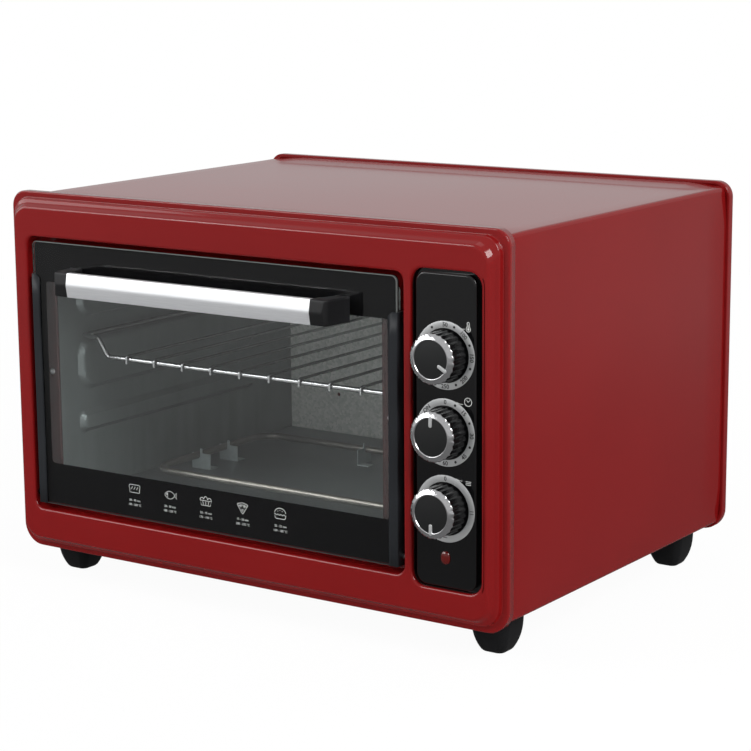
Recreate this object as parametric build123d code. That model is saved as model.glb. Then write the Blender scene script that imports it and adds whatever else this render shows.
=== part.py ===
from build123d import *
import os
from math import cos, pi, radians, sin, sqrt

os.makedirs("parts", exist_ok=True)

# A countertop electric oven: a red enamelled steel case with a drop-down glass door on the left,
# a galvanised cavity with two tubular heaters and a wire rack, and three knobs on the right.
# Millimetres. While it is modelled, x = 0 is the middle of the case, y = 0 is the front rim's face
# with +y into the oven, and z = 0 is the rim's bottom edge. place() moves it onto its feet.

# Case
rim_width = 520.0
rim_height = 326.0
case_depth = 389.5
foot_height = 27.0
rim_depth = 7.0
rim_corner_high = 14.0
rim_corner_low = 20.0
press_sheet = 0.8
wrap_sheet = 0.7
wrap_inset = 5.0
wrap_rise = 7.0
wrap_bend = 4.0
wrap_hem = 12.0
liner_sheet = 0.6
fit_gap = 0.3
cut_extra = 1.0

# Steps pressed round the front: how far in from the rim, and how far forward
rim_round = 1.4
flange_inset = 4.8
flange_lift = 1.6
riser_round = 0.8
step_inset = 6.8
step_lift = 6.2
face_inset = 14.2
face_lift = 14.0
face_corner = 15.0

# Openings in the front, with their rolled edges
door_opening_left = 26.0
door_opening_low = 39.3
door_opening_high = 38.2
door_opening_corner = 9.0
edge_roll = 2.5
landing_depth = 3.3
post_width = 7.2
panel_opening_right = 17.8
panel_opening_width = 66.0
panel_opening_low = 33.5
panel_opening_high = 33.8
panel_opening_corner = 12.0
panel_lip = 5.8

# Cavity
mouth_side = 14.0
mouth_low = 7.7
mouth_high = 9.5
mouth_corner = 6.0
cavity_back_gap = 31.0
ridge_depth = 5.0
ridge_front_gap = 31.0
ridge_back_gap = 63.0
ridge_slope = 6.0
lower_ridge_low = 54.5
lower_ridge_height = 19.5
middle_ridge_low = 94.0
middle_ridge_height = 48.5
upper_ridge_low = 160.5
upper_ridge_height = 44.5
dimple_radius = 2.0
dimple_side = 60.0
dimple_high = 40.0

# Heaters
heater_tube = 6.5
heater_setback = 91.0
heater_side_gap = 35.0
heater_bend = 22.0
lower_heater_rise = 13.0
upper_heater_drop = 14.0
heater_tail = 24.0
seat_wall = 2.5
seat_flange = 2.0
terminal_radius = 1.6
terminal_length = 9.0
terminal_nut = 2.5
bracket_sheet = 0.8
bracket_width = 22.0
bracket_foot = 12.0
bracket_prong = 2.5
bracket_gap = 0.1
bracket_pitch = 42.0
rear_bracket_offset = 30.0

# Rack
rail_wire = 4.4
cross_wire = 2.5
rack_front_gap = 33.0
rack_back_gap = 13.0
rack_side_gap = 1.5
rack_drop = 16.5
rack_shoulder = 20.0
rack_slope = 11.5
rack_wires = 9
rack_pitch = 32.0
rack_bend = 5.0
rail_crown = 2.0
weld_sink = 0.3

# Door
glass_thickness = 4.0
glass_setback = 1.0
door_gap_side = 6.4
door_gap_high = 4.0
door_gap_low = 6.0
glass_corner = 5.0
channel_sheet = 1.0
channel_face = 8.0
channel_depth = 12.0
channel_back = 20.0
channel_stop = 29.5
channel_cut = 3.5
packing_width = 7.0
rail_height = 12.0
rail_setback = 1.0
hinge_rise = 7.7
hinge_setback = 8.0
pin_radius = 2.5
pin_clearance = 0.05
pin_head = 0.4
bush_wall = 1.5
bush_length = 6.0
hinge_plate = 2.0
hinge_plate_low = 9.0
hinge_plate_high = 22.0
hinge_plate_depth = 35.0
spring_wire = 1.2
spring_turns = 4
spring_pitch = 1.5
spring_leg = 8.0
spring_clearance = 0.6

# Handle
handle_length = 260.0
handle_height = 21.2
handle_drop = 31.2
handle_reach = 29.0
handle_vee = 2.0
facing_sheet = 1.4
facing_return = 5.0
core_depth = 10.0
core_crown = 1.5
post_length = 13.0
post_bevel = 2.5
post_bevel_depth = 4.0
post_flare = 7.0
post_foot = 14.0
post_web = 3.0
handle_screw_radius = 2.0
handle_screw_bite = 13.0

# Control panel
plate_gap_side = 4.8
plate_gap_high = 2.4
plate_corner = 9.0
plate_flange = 5.0
plate_flange_sheet = 2.5
plate_bevel = 0.8
knob_pitch = 61.9
lamp_drop = 40.4
dial_inner = 21.9
dial_outer = 27.4
dial_sheet = 0.3

# Knobs
knob_height = 22.0
knob_gap = 0.6
barrel_radius = 20.4
barrel_flutes = 24
flute_radius = 1.5
flute_sink = 0.8
bezel_height = 3.0
bezel_edge = 0.6
bezel_top = 0.9
cap_radius = 15.5
cap_dome = 0.7
pointer_width = 2.2
pointer_length = 10.5
pointer_lift = 0.5
pointer_sink = 1.2
pointer_overhang = 1.6
temperature_rest = 120.0
timer_rest = 0.0
selector_rest = 180.0
shaft_radius = 3.0
shaft_clearance = 0.05
shaft_grip = 14.0
shaft_tail = 6.0

# Control compartment
shield_gap = 9.0
shield_top_gap = 8.0
shield_front_gap = 6.0
shield_overrun = 14.0
carrier_setback = 6.0
carrier_sheet = 1.0
carrier_flange = 14.0
bushing_radius = 5.0
bushing_reach = 10.5
thermostat_size = (38.0, 26.0, 30.0)
timer_size = (50.0, 34.0, 46.0)
selector_size = (34.0, 28.0, 34.0)
tab_length = 7.0
tab_width = 4.8
tab_sheet = 0.8
lens_radius = 4.6
lens_rim = 0.6
lens_lift = 2.4
lens_stem = 3.2
lens_stem_length = 8.0
lamp_radius = 2.8
lamp_length = 26.0
block_width = 28.0
block_depth = 22.0
block_height = 18.0
block_back_gap = 48.0
block_side = 12.0
wire_radius = 1.3
wire_pitch = 7.0
wire_bend = 9.0
wire_run = 50.0
gland_radius = 7.0
gland_bore = 4.0
gland_flange = 2.5
gland_length = 8.0
gland_rise = 34.0

# Fasteners, slots and feet
screw_head_radius = 3.6
screw_head_lift = 2.2
screw_radius = 1.7
flat_head_lift = 1.3
case_screw_length = 9.0
case_screw_side = 22.0
case_screw_low = 18.0
case_screw_high = 14.0
landing_screw_rise = 160.0
slot_length = 34.0
slot_width = 4.0
slot_pitch = 12.0
base_slots = 9
side_vents = 11
side_vent_low = 137.0
top_vents = 8
top_vent_drop = 20.0
vent_margin = 12.0
foot_side = 34.0
foot_front = 38.0
foot_rear = 46.5
foot_top = 36.0
foot_bottom = 20.0
foot_seat = 7.0
foot_screw_bite = 4.0

# Places worked out from the values above
half_width = rim_width / 2
panel_x1 = half_width - panel_opening_right
panel_x0 = panel_x1 - panel_opening_width
panel_z1 = rim_height - panel_opening_high
door_x0 = -half_width + door_opening_left
door_x1 = panel_x0 - post_width
door_z1 = rim_height - door_opening_high
face_y = -face_lift
landing_end = landing_depth + press_sheet
panel_lip_end = face_y + panel_lip
mouth_x0, mouth_x1 = door_x0 + mouth_side, door_x1 - mouth_side
mouth_z0, mouth_z1 = door_opening_low + mouth_low, door_z1 - mouth_high
mouth_mid = (mouth_x0 + mouth_x1) / 2
cavity_y0, cavity_y1 = landing_end, case_depth - cavity_back_gap
wrap_x = half_width - wrap_inset
wrap_z0, wrap_z1 = wrap_rise, rim_height - wrap_inset
wrap_y0, wrap_y1 = press_sheet - flange_lift, case_depth - press_sheet
base_z = wrap_z0 + wrap_sheet
base_top = base_z + liner_sheet

glass_x0, glass_x1 = door_x0 + door_gap_side, door_x1 - door_gap_side
glass_z0, glass_z1 = door_opening_low + door_gap_low, door_z1 - door_gap_high
glass_y0 = face_y + glass_setback
glass_y1 = glass_y0 + glass_thickness
door_mid = (glass_x0 + glass_x1) / 2
channel_y0 = glass_y0 - channel_sheet
channel_y1 = channel_y0 + channel_depth
channel_z1 = glass_z1 - channel_stop
hinge_y = channel_y0 + hinge_setback
hinge_z = glass_z0 + hinge_rise
bush_radius = pin_radius + pin_clearance + bush_wall
handle_z = glass_z1 - handle_drop
handle_y = glass_y0 - handle_reach
bar_x0, bar_x1 = door_mid - handle_length / 2, door_mid + handle_length / 2

plate_x0, plate_x1 = panel_x0 + plate_gap_side, panel_x1 - plate_gap_side
plate_z0, plate_z1 = panel_opening_low + plate_gap_high, panel_z1 - plate_gap_high
knob_x = (plate_x0 + plate_x1) / 2
knob_mid_z = (plate_z0 + plate_z1) / 2
knob_rows = [knob_mid_z + knob_pitch, knob_mid_z, knob_mid_z - knob_pitch]
lamp_z = knob_rows[2] - lamp_drop
knob_base = face_y - dial_sheet - knob_gap
knob_top = face_y - knob_height
bezel_base = knob_top + bezel_height
shield_x = mouth_x1 + liner_sheet + shield_gap
carrier_back = carrier_setback + carrier_sheet
gland_x = (shield_x + wrap_x) / 2
front_most = min(handle_y, knob_top)
back_most = case_depth + flat_head_lift
depth_middle = (front_most + back_most) / 2


def place(shape):
    """The shape moved from the case's frame to the part's own: centred, and standing on its feet."""
    return Location((0, -depth_middle, foot_height)) * shape


def save(node, *shapes):
    """Writes one node, made of one or more separate solids."""
    solids = [place(solid) for shape in shapes for solid in shape.solids()]
    export_step(solids[0] if len(solids) == 1 else Compound(solids), f"parts/{node}.step")


def block(x0, x1, y0, y1, z0, z1):
    """A box between two corners."""
    middle = ((x0 + x1) / 2, (y0 + y1) / 2, (z0 + z1) / 2)
    return Location(middle) * Box(abs(x1 - x0), abs(y1 - y0), abs(z1 - z0))


def rod(x, y, z, axis, length, radius):
    """A round bar that starts at a point and runs along +x, +y or +z for its length."""
    turn = {"x": (0, 90, 0), "y": (-90, 0, 0), "z": (0, 0, 0)}[axis]
    bar = Cylinder(radius, length, align=(Align.CENTER, Align.CENTER, Align.MIN))
    return Location((x, y, z), turn) * bar


def bar_between(x0, x1, y, z, radius):
    """A round bar along x between two places, in either order."""
    return rod(min(x0, x1), y, z, "x", abs(x1 - x0), radius)


def hole_through(x, y0, y1, z, radius):
    """A cutter along y that passes both faces of a sheet."""
    return rod(x, y0 - cut_extra, z, "y", y1 - y0 + 2 * cut_extra, radius)


def wire_along(path, radius):
    """A round wire swept along a path, from its start."""
    start = path @ 0
    with BuildSketch(Plane(origin=start, z_dir=path % 0)) as section:
        Circle(radius)
    return sweep(section.sketch, path)


def outline(x0, x1, z0, z1, y, low, high):
    """A rounded rectangle on the plane at y, with one radius for the low corners, one for the high."""
    k = 1 - sqrt(0.5)
    return Wire([
        Line((x0 + low, y, z0), (x1 - low, y, z0)),
        ThreePointArc((x1 - low, y, z0), (x1 - low * k, y, z0 + low * k), (x1, y, z0 + low)),
        Line((x1, y, z0 + low), (x1, y, z1 - high)),
        ThreePointArc((x1, y, z1 - high), (x1 - high * k, y, z1 - high * k), (x1 - high, y, z1)),
        Line((x1 - high, y, z1), (x0 + high, y, z1)),
        ThreePointArc((x0 + high, y, z1), (x0 + high * k, y, z1 - high * k), (x0, y, z1 - high)),
        Line((x0, y, z1 - high), (x0, y, z0 + low)),
        ThreePointArc((x0, y, z0 + low), (x0 + low * k, y, z0 + low * k), (x0 + low, y, z0)),
    ])


def grown(rect, by, y, low, high):
    """The outline of a rectangle grown by a margin, at y."""
    x0, x1, z0, z1 = rect
    return outline(x0 - by, x1 + by, z0 - by, z1 + by, y, low, high)


def stack(outlines):
    """A ruled loft through outlines."""
    return Solid.make_loft(outlines, True)


def slab(rect, by, y0, y1, corner):
    """A plate with round corners: a rectangle grown by a margin, between two depths."""
    return stack([grown(rect, by, y0, corner, corner), grown(rect, by, y1, corner, corner)])


case_rect = (-half_width, half_width, 0, rim_height)
door_rect = (door_x0, door_x1, door_opening_low, door_z1)
panel_rect = (panel_x0, panel_x1, panel_opening_low, panel_z1)
mouth_rect = (mouth_x0, mouth_x1, mouth_z0, mouth_z1)
glass_rect = (glass_x0, glass_x1, glass_z0, glass_z1)
plate_rect = (plate_x0, plate_x1, plate_z0, plate_z1)
wrap_rect = (-wrap_x, wrap_x, wrap_z0, wrap_z1)


# Front frame: one pressing with a stepped edge, two openings with rolled edges and a door landing.
def stepped_front(sheet):
    """The filled front up to its flat face, or its inside when given the sheet's thickness.
    From the rim it runs over a narrow flange and a riser, then up a smooth slope to the face."""
    profile = [
        (0, -rim_depth - (cut_extra if sheet else 0)),
        (0, 0),
        (rim_round, flange_lift),
        (flange_inset, flange_lift),
        (flange_inset + riser_round, flange_lift + riser_round),
        (step_inset - riser_round, step_lift - riser_round),
    ]
    slope_steps = 5
    for step in range(slope_steps + 1):
        t = step / slope_steps
        rise = t * t * (3 - 2 * t)
        inset = step_inset + (face_inset - step_inset) * t
        profile.append((inset, step_lift + (face_lift - step_lift) * rise))
    outlines = []
    for inset, lift in profile:
        share = inset / face_inset
        low = rim_corner_low + (face_corner - rim_corner_low) * share
        high = rim_corner_high + (face_corner - rim_corner_high) * share
        outlines.append(grown(case_rect, -inset - sheet, sheet - lift, low, high))
    return stack(outlines)


def rolled_edge(rect, corner, end_y):
    """The hollow of an opening, and the sheet turned in round it: a quarter round, then straight back."""
    hollow = [grown(rect, edge_roll, face_y - cut_extra, corner, corner)]
    metal = [grown(rect, edge_roll, face_y, corner, corner)]
    for angle in (0, 30, 60, 90):
        turn = radians(angle)
        for outlines, radius in ((hollow, edge_roll), (metal, edge_roll - press_sheet)):
            y = face_y + edge_roll - radius * cos(turn)
            outlines.append(grown(rect, edge_roll - radius * sin(turn), y, corner, corner))
    hollow.append(grown(rect, 0, end_y, corner, corner))
    metal.append(grown(rect, press_sheet, end_y, corner, corner))
    return stack(hollow), stack(metal)


door_hollow, door_metal = rolled_edge(door_rect, door_opening_corner, landing_end)
panel_hollow, panel_metal = rolled_edge(panel_rect, panel_opening_corner, panel_lip_end)
landing = slab(door_rect, press_sheet / 2, landing_depth, landing_end, door_opening_corner)
landing -= slab(mouth_rect, 0, landing_depth - cut_extra, landing_end + cut_extra, mouth_corner)
front_frame = stepped_front(0) - stepped_front(press_sheet)
front_frame = front_frame + door_metal + panel_metal - door_hollow - panel_hollow + landing
landing_screw_x = [mouth_x0 - mouth_side * 0.42, mouth_x1 + mouth_side * 0.42]
for x in landing_screw_x:
    front_frame -= hole_through(x, landing_depth, landing_end, landing_screw_rise, screw_radius)
for lip_x in (door_x0, door_x1):
    front_frame -= bar_between(lip_x - edge_roll, lip_x + edge_roll, hinge_y, hinge_z, bush_radius)
save("front_frame", front_frame)

# Body wrap: one folded sheet for the roof and both sides, with hems turned in under the base.
wrap = slab(wrap_rect, 0, wrap_y0, wrap_y1, wrap_bend)
wrap -= slab(wrap_rect, -wrap_sheet, wrap_y0 - cut_extra, wrap_y1 + cut_extra, wrap_bend - wrap_sheet)
hem_x = wrap_x - wrap_hem
wrap -= block(-hem_x, hem_x, wrap_y0 - cut_extra, wrap_y1 + cut_extra, wrap_z0 - cut_extra, wrap_z0 + wrap_bend)
save("body_wrap", wrap)

# Base panel: lies on the wrap's hems and carries the feet, with two rows of cooling slots.
base_x = wrap_x - wrap_bend - fit_gap
foot_places = [
    (sign * (half_width - foot_side), y) for y in (foot_front, case_depth - foot_rear) for sign in (-1, 1)
]
base = block(-base_x, base_x, wrap_y0 + cut_extra, wrap_y1 - cut_extra, base_z, base_top)
base_cuts = []
for row in (1, 2):
    x = wrap_x - foot_side - row * (slot_length + slot_pitch)
    for column in range(base_slots):
        y = case_depth / 2 + (column - base_slots / 2) * slot_pitch
        cut = block(x, x + slot_length, y, y + slot_width, base_z - cut_extra, base_top + cut_extra)
        base_cuts.append(cut)
for x, y in foot_places:
    base_cuts.append(rod(x, y, base_z - cut_extra, "z", liner_sheet + 2 * cut_extra, screw_radius + fit_gap))
save("base_panel", base - base_cuts)


# Feet: moulded black posts that taper and round over towards the floor, each held by one screw.
def foot(x, y):
    """A square post whose size shrinks slowly at first, then fast, on its way down."""
    sections = []
    for drop in (0, 0.42, 0.72, 0.9, 1):
        size = foot_top + (foot_bottom - foot_top) * drop**3
        with BuildSketch(Plane((x, y, wrap_z0 - drop * (wrap_z0 + foot_height)))) as sketch:
            RectangleRounded(size, size, size * 0.22)
        sections.append(sketch.sketch.wire())
    post = Solid.make_loft(sections, True)
    sink = foot_height - foot_seat + cut_extra
    post -= rod(x, y, -foot_height - cut_extra, "z", sink, screw_head_radius + cut_extra)
    return post - rod(x, y, -foot_height, "z", foot_height + base_z, screw_radius + fit_gap)


save("feet", *[foot(x, y) for x, y in foot_places])
save("foot_screws", *[
    rod(x, y, -foot_seat - screw_head_lift, "z", screw_head_lift, screw_head_radius)
    + rod(x, y, -foot_seat, "z", foot_seat + base_top + foot_screw_bite, screw_radius)
    for x, y in foot_places
])


# Back panel: a shallow pressing with the same rim, air slots, a hole for the lead's gland and six screws.
def back_shell(sheet):
    """The filled back, or its inside when given the sheet's thickness."""
    front = case_depth - rim_depth - (cut_extra if sheet else 0)
    return stack([
        grown(case_rect, -sheet, front, rim_corner_low, rim_corner_high),
        grown(case_rect, -sheet, case_depth - rim_round, rim_corner_low, rim_corner_high),
        grown(case_rect, -rim_round - sheet, case_depth - sheet, rim_corner_low, rim_corner_high),
    ])


back_y0, back_y1 = case_depth - press_sheet - cut_extra, case_depth + cut_extra
back_cuts = []
for row in range(side_vents):
    x, z = shield_x + vent_margin, side_vent_low + row * slot_pitch
    back_cuts.append(block(x, x + slot_length, back_y0, back_y1, z, z + slot_width))
for column in range(top_vents):
    x = mouth_x0 + vent_margin + column * (slot_length + slot_pitch)
    for row in (1, 2):
        z = wrap_z1 - top_vent_drop - row * slot_pitch
        back_cuts.append(block(x, x + slot_length, back_y0, back_y1, z, z + slot_width))
back_cuts.append(hole_through(gland_x, back_y0, back_y1, gland_rise, gland_radius))
back_screws = [
    (x, z)
    for x in (-half_width + case_screw_side, mouth_mid, half_width - case_screw_side)
    for z in (case_screw_low, rim_height - case_screw_high)
]
for x, z in back_screws:
    back_cuts.append(hole_through(x, back_y0, back_y1, z, screw_radius))
save("back_panel", back_shell(0) - back_shell(press_sheet) - back_cuts)

# Case screws: those of the back, and one on each side of the door landing that holds the frame.
case_screws = []
for x, z in back_screws:
    shank = rod(x, case_depth - case_screw_length, z, "y", case_screw_length, screw_radius)
    case_screws.append(shank + rod(x, case_depth, z, "y", flat_head_lift, screw_head_radius))
for x in landing_screw_x:
    shank = rod(x, landing_depth, landing_screw_rise, "y", case_screw_length, screw_radius)
    head = rod(x, landing_depth - flat_head_lift, landing_screw_rise, "y", flat_head_lift, screw_head_radius)
    case_screws.append(shank + head)
save("case_screws", *case_screws)
gland = rod(gland_x, case_depth - gland_length, gland_rise, "y", gland_length, gland_radius)
gland += rod(gland_x, case_depth, gland_rise, "y", flat_head_lift, gland_radius + gland_flange)
gland -= hole_through(gland_x, case_depth - gland_length, back_most, gland_rise, gland_bore)
save("lead_gland", gland)


# Cavity liner: five galvanised sheets. The side walls carry three pressed ridges with runners between.
def ridge(wall_x, inward, low, height, sheet):
    """One raised band on a side wall, or its hollow back: its flanks slope in over its height."""
    sections = []
    for lift in (-0.01 if sheet else 0, 0.5, 1):
        slope = ridge_slope * lift * lift
        y0 = cavity_y0 + ridge_front_gap + slope + sheet
        y1 = cavity_y1 - ridge_back_gap - slope - sheet
        z0 = mouth_z0 + low + slope / 2 + sheet
        z1 = mouth_z0 + low + height - slope / 2 - sheet
        origin = (wall_x + inward * (ridge_depth * lift - sheet), (y0 + y1) / 2, (z0 + z1) / 2)
        with BuildSketch(Plane(origin=origin, x_dir=(0, 1, 0), z_dir=(1, 0, 0))) as pad:
            RectangleRounded(y1 - y0, z1 - z0, (z1 - z0) * 0.42)
        sections.append(pad.sketch.wire())
    return Solid.make_loft(sections, True)


ridges = [
    (lower_ridge_low, lower_ridge_height),
    (middle_ridge_low, middle_ridge_height),
    (upper_ridge_low, upper_ridge_height),
]


def side_wall(wall_x, inward):
    """A flat sheet with its ridges raised, then hollowed from behind."""
    wall = block(wall_x, wall_x - inward * liner_sheet, cavity_y0, cavity_y1, mouth_z0, mouth_z1)
    for band in ridges:
        wall += ridge(wall_x, inward, *band, 0)
    for band in ridges:
        wall -= ridge(wall_x, inward, *band, liner_sheet)
    return wall


lower_heater_z = mouth_z0 + lower_heater_rise
upper_heater_z = mouth_z1 - upper_heater_drop
heater_front, heater_back = cavity_y0 + heater_setback, cavity_y1 - heater_setback
heater_ends = [(y, z) for y in (heater_front, heater_back) for z in (lower_heater_z, upper_heater_z)]
seat_radius = heater_tube / 2 + seat_wall
liner_x0, liner_x1 = mouth_x0 - liner_sheet, mouth_x1 + liner_sheet
liner_z0, liner_z1 = mouth_z0 - liner_sheet, mouth_z1 + liner_sheet
right_wall = side_wall(mouth_x1, -1)
for y, z in heater_ends:
    right_wall -= bar_between(mouth_x1 - cut_extra, liner_x1 + cut_extra, y, z, seat_radius)
save("cavity_left_wall", side_wall(mouth_x0, 1))
save("cavity_right_wall", right_wall)
save("cavity_floor", block(liner_x0, liner_x1, cavity_y0, cavity_y1, liner_z0, mouth_z0))
save("cavity_roof", block(liner_x0, liner_x1, cavity_y0, cavity_y1, mouth_z1, liner_z1))
back_wall = block(liner_x0, liner_x1, cavity_y1, cavity_y1 + liner_sheet, liner_z0, liner_z1)
for x in (mouth_x0 + dimple_side, mouth_mid, mouth_x1 - dimple_side):
    for z in (mouth_z0 + dimple_high, mouth_z1 - dimple_high):
        back_wall -= hole_through(x, cavity_y1, cavity_y1 + liner_sheet, z, dimple_radius)
save("cavity_back_wall", back_wall)


# Heaters: U-shaped sheathed tubes. Their ends pass the right wall into the control compartment.
def heater(z):
    left, right = mouth_x0 + heater_side_gap, shield_x + heater_tail
    corners = [(right, heater_front, z), (left, heater_front, z), (left, heater_back, z), (right, heater_back, z)]
    return wire_along(FilletPolyline(*corners, radius=heater_bend), heater_tube / 2)


save("lower_heater", heater(lower_heater_z))
save("upper_heater", heater(upper_heater_z))


# Heater brackets: upright tabs welded to the liner, each with an open notch that holds the tube.
def bracket(liner_z, tube_z, along, side, spot):
    """A tab across one run of the tube. along is the tube's direction, side is its place across
    that, and spot is the tab's place along it."""
    up = 1 if tube_z > liner_z else -1
    inner = heater_tube / 2 + bracket_gap
    top, prong_top = tube_z + up * seat_flange, tube_z + up * heater_tube

    def piece(across0, across1, along0, along1, z0, z1):
        if along == "y":
            return block(side + across0, side + across1, spot + along0, spot + along1, z0, z1)
        return block(spot + along0, spot + along1, side - across1, side - across0, z0, z1)

    tab = piece(-heater_tube, bracket_width - heater_tube, 0, bracket_sheet, liner_z, top)
    tab += piece(inner, inner + bracket_prong, 0, bracket_sheet, liner_z, prong_top)
    tab -= piece(-inner, inner, -cut_extra, bracket_sheet + cut_extra, tube_z, prong_top + up * cut_extra)
    if along == "y":
        tab -= rod(side, spot - cut_extra, tube_z, "y", bracket_sheet + 2 * cut_extra, inner)
    else:
        tab -= rod(spot - cut_extra, side, tube_z, "x", bracket_sheet + 2 * cut_extra, inner)
    toe = piece(heater_tube, bracket_width - heater_tube, 0, bracket_foot, liner_z, liner_z + up * bracket_sheet)
    return tab + toe


heater_middle = (heater_front + heater_back) / 2
heater_left = mouth_x0 + heater_side_gap
for node, liner_z, tube_z in (
    ("lower_heater_brackets", mouth_z0, lower_heater_z),
    ("upper_heater_brackets", mouth_z1, upper_heater_z),
):
    spots = (heater_middle - bracket_pitch / 2, heater_middle + bracket_pitch / 2)
    tabs = [bracket(liner_z, tube_z, "y", heater_left, spot) for spot in spots]
    tabs.append(bracket(liner_z, tube_z, "x", heater_back, mouth_mid - rear_bracket_offset))
    save(node, *tabs)

# Heater seats and terminals: ceramic collars between liner and shield, and a stud on each tube's end.
seats, studs = [], []
heater_end_x = shield_x + heater_tail
for y, z in heater_ends:
    collar = bar_between(liner_x1, shield_x, y, z, seat_radius + seat_flange)
    collar += bar_between(mouth_x1 - seat_flange, liner_x1, y, z, seat_radius)
    collar -= bar_between(mouth_x1 - heater_tail, heater_end_x, y, z, heater_tube / 2)
    seats.append(collar)
    stud = bar_between(heater_end_x, heater_end_x + terminal_length, y, z, terminal_radius)
    studs.append(stud + bar_between(heater_end_x, heater_end_x + terminal_nut, y, z, heater_tube / 2))
save("heater_seats", *seats)
save("heater_terminals", *studs)

# Heat shield: a galvanised partition between the cavity and the controls, with holes for the heaters.
shield_z1 = wrap_z1 - wrap_sheet - shield_top_gap
shield_y0, shield_y1 = cavity_y0 + shield_front_gap, cavity_y1 + shield_overrun
shield = block(shield_x, shield_x + liner_sheet, shield_y0, shield_y1, base_top, shield_z1)
for y, z in heater_ends:
    shield -= bar_between(shield_x - cut_extra, shield_x + liner_sheet + cut_extra, y, z, heater_tube / 2 + fit_gap)
save("heat_shield", shield)


# Rack: side rails ride in the runners, and drop to a lower floor of bars and welded cross wires.
def rack():
    """One half is a bent wire from the middle of the front bar round to the middle of the rear bar."""
    rail_z = mouth_z0 + middle_ridge_low + middle_ridge_height + rail_wire / 2 + fit_gap
    floor_z = rail_z - rack_drop
    rail_x = mouth_x0 + rail_wire / 2 + rack_side_gap
    front, back = cavity_y0 + rack_front_gap, cavity_y1 - rack_back_gap
    shoulder_x = rail_x + rack_shoulder
    floor_x = shoulder_x + rack_slope
    half_wire = FilletPolyline(
        (mouth_mid, front, floor_z),
        (floor_x, front, floor_z),
        (shoulder_x, front, rail_z),
        (rail_x, front + rail_crown, rail_z),
        (rail_x, back - rail_crown, rail_z),
        (shoulder_x, back, rail_z),
        (floor_x, back, floor_z),
        (mouth_mid, back, floor_z),
        radius=rack_bend,
    )
    half = wire_along(half_wire, rail_wire / 2)
    frame = half + half.mirror(Plane(origin=(mouth_mid, 0, 0), z_dir=(1, 0, 0)))
    stand_off = (rail_wire + cross_wire) / 2 - weld_sink
    tip_z = floor_z - rail_wire / 2 - cross_wire / 2
    wires = []
    for index in range(rack_wires):
        x = mouth_mid + (index - (rack_wires - 1) / 2) * rack_pitch
        bent = FilletPolyline(
            (x, front - stand_off, tip_z),
            (x, front - stand_off, floor_z + stand_off),
            (x, back + stand_off, floor_z + stand_off),
            (x, back + stand_off, tip_z),
            radius=cross_wire,
        )
        wires.append(wire_along(bent, cross_wire / 2))
    return frame + wires


save("wire_rack", rack())

# Door glass: one toughened pane that fills the opening, drilled for the handle.
glass = slab(glass_rect, 0, glass_y0, glass_y1, glass_corner)
handle_screw_reach = (post_length + post_flare) / 2
handle_screw_x = [bar_x0 - handle_screw_reach, bar_x1 + handle_screw_reach]
for x in handle_screw_x:
    glass -= hole_through(x, glass_y0, glass_y1, handle_z, handle_screw_radius + fit_gap)
save("door_glass", glass)


# Door channels: folded steel strips that wrap the pane's sides, end below its top and hold the pins.
def door_channel(edge_x, inward):
    """A web outside the pane's edge, a narrow face in front of it and a wide one behind."""
    web, inner = edge_x - inward * channel_sheet, edge_x + inward * channel_face
    front = block(web, inner, channel_y0, glass_y0, glass_z0, channel_z1)
    corner = Location((inner, (channel_y0 + glass_y0) / 2, channel_z1))
    front -= corner * Rotation(0, 45, 0) * Box(channel_cut * sqrt(2), channel_cut, channel_cut * sqrt(2))
    side = block(web, edge_x, channel_y0, channel_y1, glass_z0, channel_z1)
    rear_x = edge_x + inward * channel_back
    rear = block(web, rear_x, channel_y1 - channel_sheet, channel_y1, glass_z0, channel_z1)
    pin_hole = bar_between(web - inward * cut_extra, edge_x + inward * cut_extra, hinge_y, hinge_z, pin_radius)
    return front + side + rear - pin_hole


save("door_channel_left", door_channel(glass_x0, 1))
save("door_channel_right", door_channel(glass_x1, -1))

# Door packings: heat-proof strips that fill the channels behind the pane, above the hinge pins.
packing_y1 = channel_y1 - channel_sheet
packing_z0 = hinge_z + hinge_rise
save(
    "door_packings",
    block(glass_x0, glass_x0 + packing_width, glass_y1, packing_y1, packing_z0, channel_z1),
    block(glass_x1 - packing_width, glass_x1, glass_y1, packing_y1, packing_z0, channel_z1),
)

# Door bottom rail: an angle behind the pane's lower edge that joins the two channels.
rail_x0, rail_x1 = glass_x0 + packing_width, glass_x1 - packing_width
rail_z0 = glass_z0 + rail_setback
bottom_rail = block(rail_x0, rail_x1, glass_y1, glass_y1 + channel_sheet, rail_z0, rail_z0 + rail_height)
bottom_rail += block(rail_x0, rail_x1, glass_y1, packing_y1, rail_z0, rail_z0 + channel_sheet)
save("door_bottom_rail", bottom_rail)

# Hinges: a pin at each lower corner of the door turns in a bush held by a plate behind the frame.
spring_room = spring_turns * spring_pitch + spring_wire
pins, bushes, plates = [], [], []
for edge_x, lip_x, out, room in ((glass_x0, door_x0, -1, spring_room), (glass_x1, door_x1, 1, 0)):
    bush_end = lip_x + out * (bush_length + room)
    head_end = edge_x - out * channel_sheet
    pin = bar_between(head_end, bush_end, hinge_y, hinge_z, pin_radius)
    pins.append(pin + bar_between(head_end, edge_x, hinge_y, hinge_z, pin_radius + pin_head))
    bush = bar_between(lip_x, bush_end, hinge_y, hinge_z, bush_radius)
    bore = bar_between(lip_x - out, bush_end + out, hinge_y, hinge_z, pin_radius + pin_clearance)
    bushes.append(bush - bore)
    near = lip_x + out * press_sheet
    far = near + out * hinge_plate
    plate_y0 = face_y + 2 * edge_roll
    plate_low, plate_high = hinge_z - hinge_plate_low, hinge_z + hinge_plate_high
    plate = block(near, far, plate_y0, plate_y0 + hinge_plate_depth, plate_low, plate_high)
    plates.append(plate - bar_between(near - out, far + out, hinge_y, hinge_z, bush_radius))
save("door_hinge_pins", *pins)
save("hinge_bushes", *bushes)
save("hinge_plates", *plates)


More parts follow.
